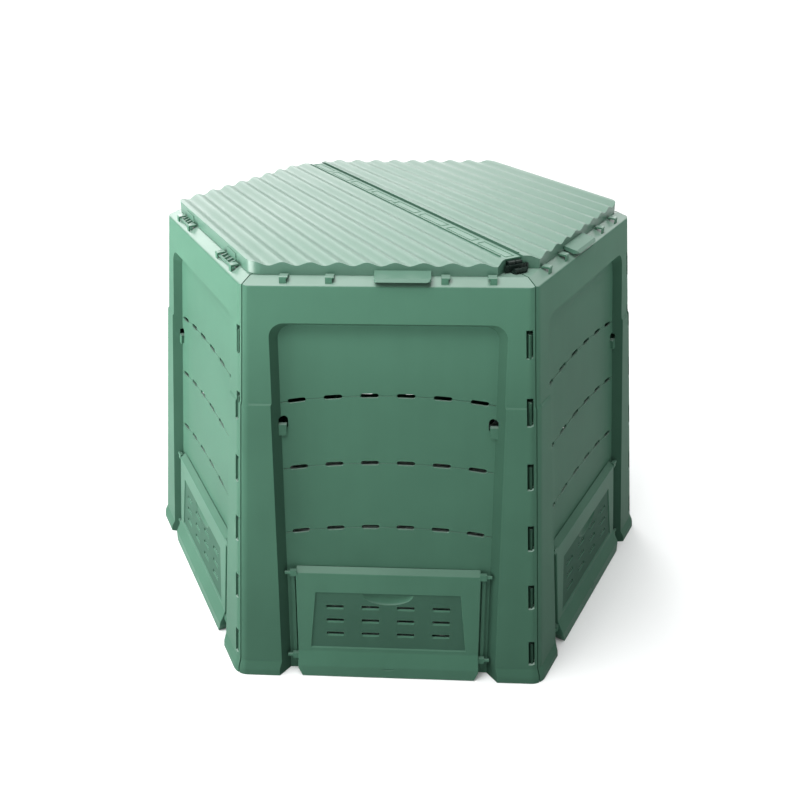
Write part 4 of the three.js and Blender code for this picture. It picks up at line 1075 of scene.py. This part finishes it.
lid = moulding("lid", upright(lid_line(0), SKIRT_FOOT, LID_CREST + OVER, above_rim))
kept_in(lid, under_waves(0))
rounded(lid, width=0.0030, sharpest=radians(50), segments=4)
inside_heights = (SKIRT_FOOT - OVER, LID_CREST + OVER)
lid_inside = moulding("inside", upright(lid_line(LID_SHEET), *inside_heights, above_rim))
cut(lid, kept_in(lid_inside, under_waves(LID_SHEET)))
lip_half = max(x for x, _ in lid_line(0)) - LID_CUT
lip_sides = ((-lip_half, lip_half), (-LID_FREE - LIP[0], -LID_FREE))
joined(lid, moulding("lip", brick(*lip_sides, (LID_CREST - LID_SHEET / 2, LID_CREST + LIP[1]), above_rim)))
for first, second in (POST_PLACES[:2], POST_PLACES[2:]):
    over = POST_WIDTH / 2 + HINGE_ROD_OVER
    hinge_rod = rod(HINGE_ROD_RADIUS, first - over, second + over, HINGE_INSET, HINGE_RISE, rim)
    hinge = moulding("hinge_rod", hinge_rod)
    for i in range(RIBS):
        place = (first + second) / 2 + (i - (RIBS - 1) / 2) * RIB_PITCH
        joined(hinge, moulding("rib", hinge_rib(place)))
    joined(lid, hinge)
    skirt = RIM_APOTHEM - LID_APOTHEM
    pad_ends = (first + POST_WIDTH, second - POST_WIDTH)
    pad = brick(pad_ends, (skirt - HINGE_PAD_PROUD, skirt + LID_SHEET / 2), (SKIRT_FOOT, LID_TROUGH), rim)
    joined(lid, moulding("hinge_pad", pad))
cut(lid, turned(grip_tabs(GRIP_OFFSET, GAP), 1), turned(grip_tabs(-GRIP_OFFSET, GAP), -1))
rounded(lid, width=0.0004, sharpest=radians(60))
lid.data.materials.append(moulded_plastic("lid_green", *LID_GREENS, 0.33, 0.30, dust_and_top_light=0.10))
LID_STATIONS = {"left": STATIONS["front_left"], "right": STATIONS["back_right"]}
for half, station in LID_STATIONS.items():
    placed(lid, f"corrugated_lid_{half}", station, f"lid_{half}", f"lid_{half}")
bpy.data.objects.remove(lid)


# Lid grips: a small moulding in the lid's plastic on each side of a lid half next to its hinge
# side. It is hollow underneath for the fingers, and two tabs hold it in the skirt.
GRIP_HALF_LENGTH = 0.049
GRIP_REACH = 0.031
GRIP_DROP = 0.006
GRIP_NOSE = 0.005
GRIP_FOOT = 0.0105
GRIP_RADIUS = 0.009


def grip(x):
    nose, low = -GRIP_REACH, GRIP_TOP - GRIP_DROP
    profile = [(-GAP, GRIP_TOP), (nose + GRIP_NOSE, low)]
    profile += [(nose, low - GRIP_NOSE), (nose, GRIP_FOOT), (nose + GRIP_NOSE, GRIP_FOOT)]
    profile += [(nose + 2 * GRIP_NOSE, low - GRIP_THICKNESS), (-GAP, GRIP_TOP - GRIP_THICKNESS)]
    made = moulding("grip", lengthways(profile, x - GRIP_HALF_LENGTH, x + GRIP_HALF_LENGTH, on_skirt))
    centre = (GRIP_HALF_LENGTH - GRIP_RADIUS, GRIP_RADIUS - GRIP_REACH)
    right = [*arc(centre, GRIP_RADIUS, -pi / 2, 0, 10), (GRIP_HALF_LENGTH, OVER)]
    plan_line = [(x + a, b) for a, b in right] + [(x - a, b) for a, b in reversed(right)]
    kept_in(made, moulding("plan", upright(plan_line, 0, LID_CREST, on_skirt)))
    rounded(made, width=0.0024, sharpest=radians(25), segments=4)
    return joined(made, grip_tabs(x, 0))


for number, offset, turn in ((1, GRIP_OFFSET, 1), (2, -GRIP_OFFSET, -1)):
    pattern = grip(offset)
    pattern.data.materials.append(bpy.data.materials["lid_green"])
    for half, station in LID_STATIONS.items():
        name = f"lid_grip_{half}_{number}"
        placed(pattern, f"finger_{name}", station + turn, f"lid_{half}", name)
    bpy.data.objects.remove(pattern)
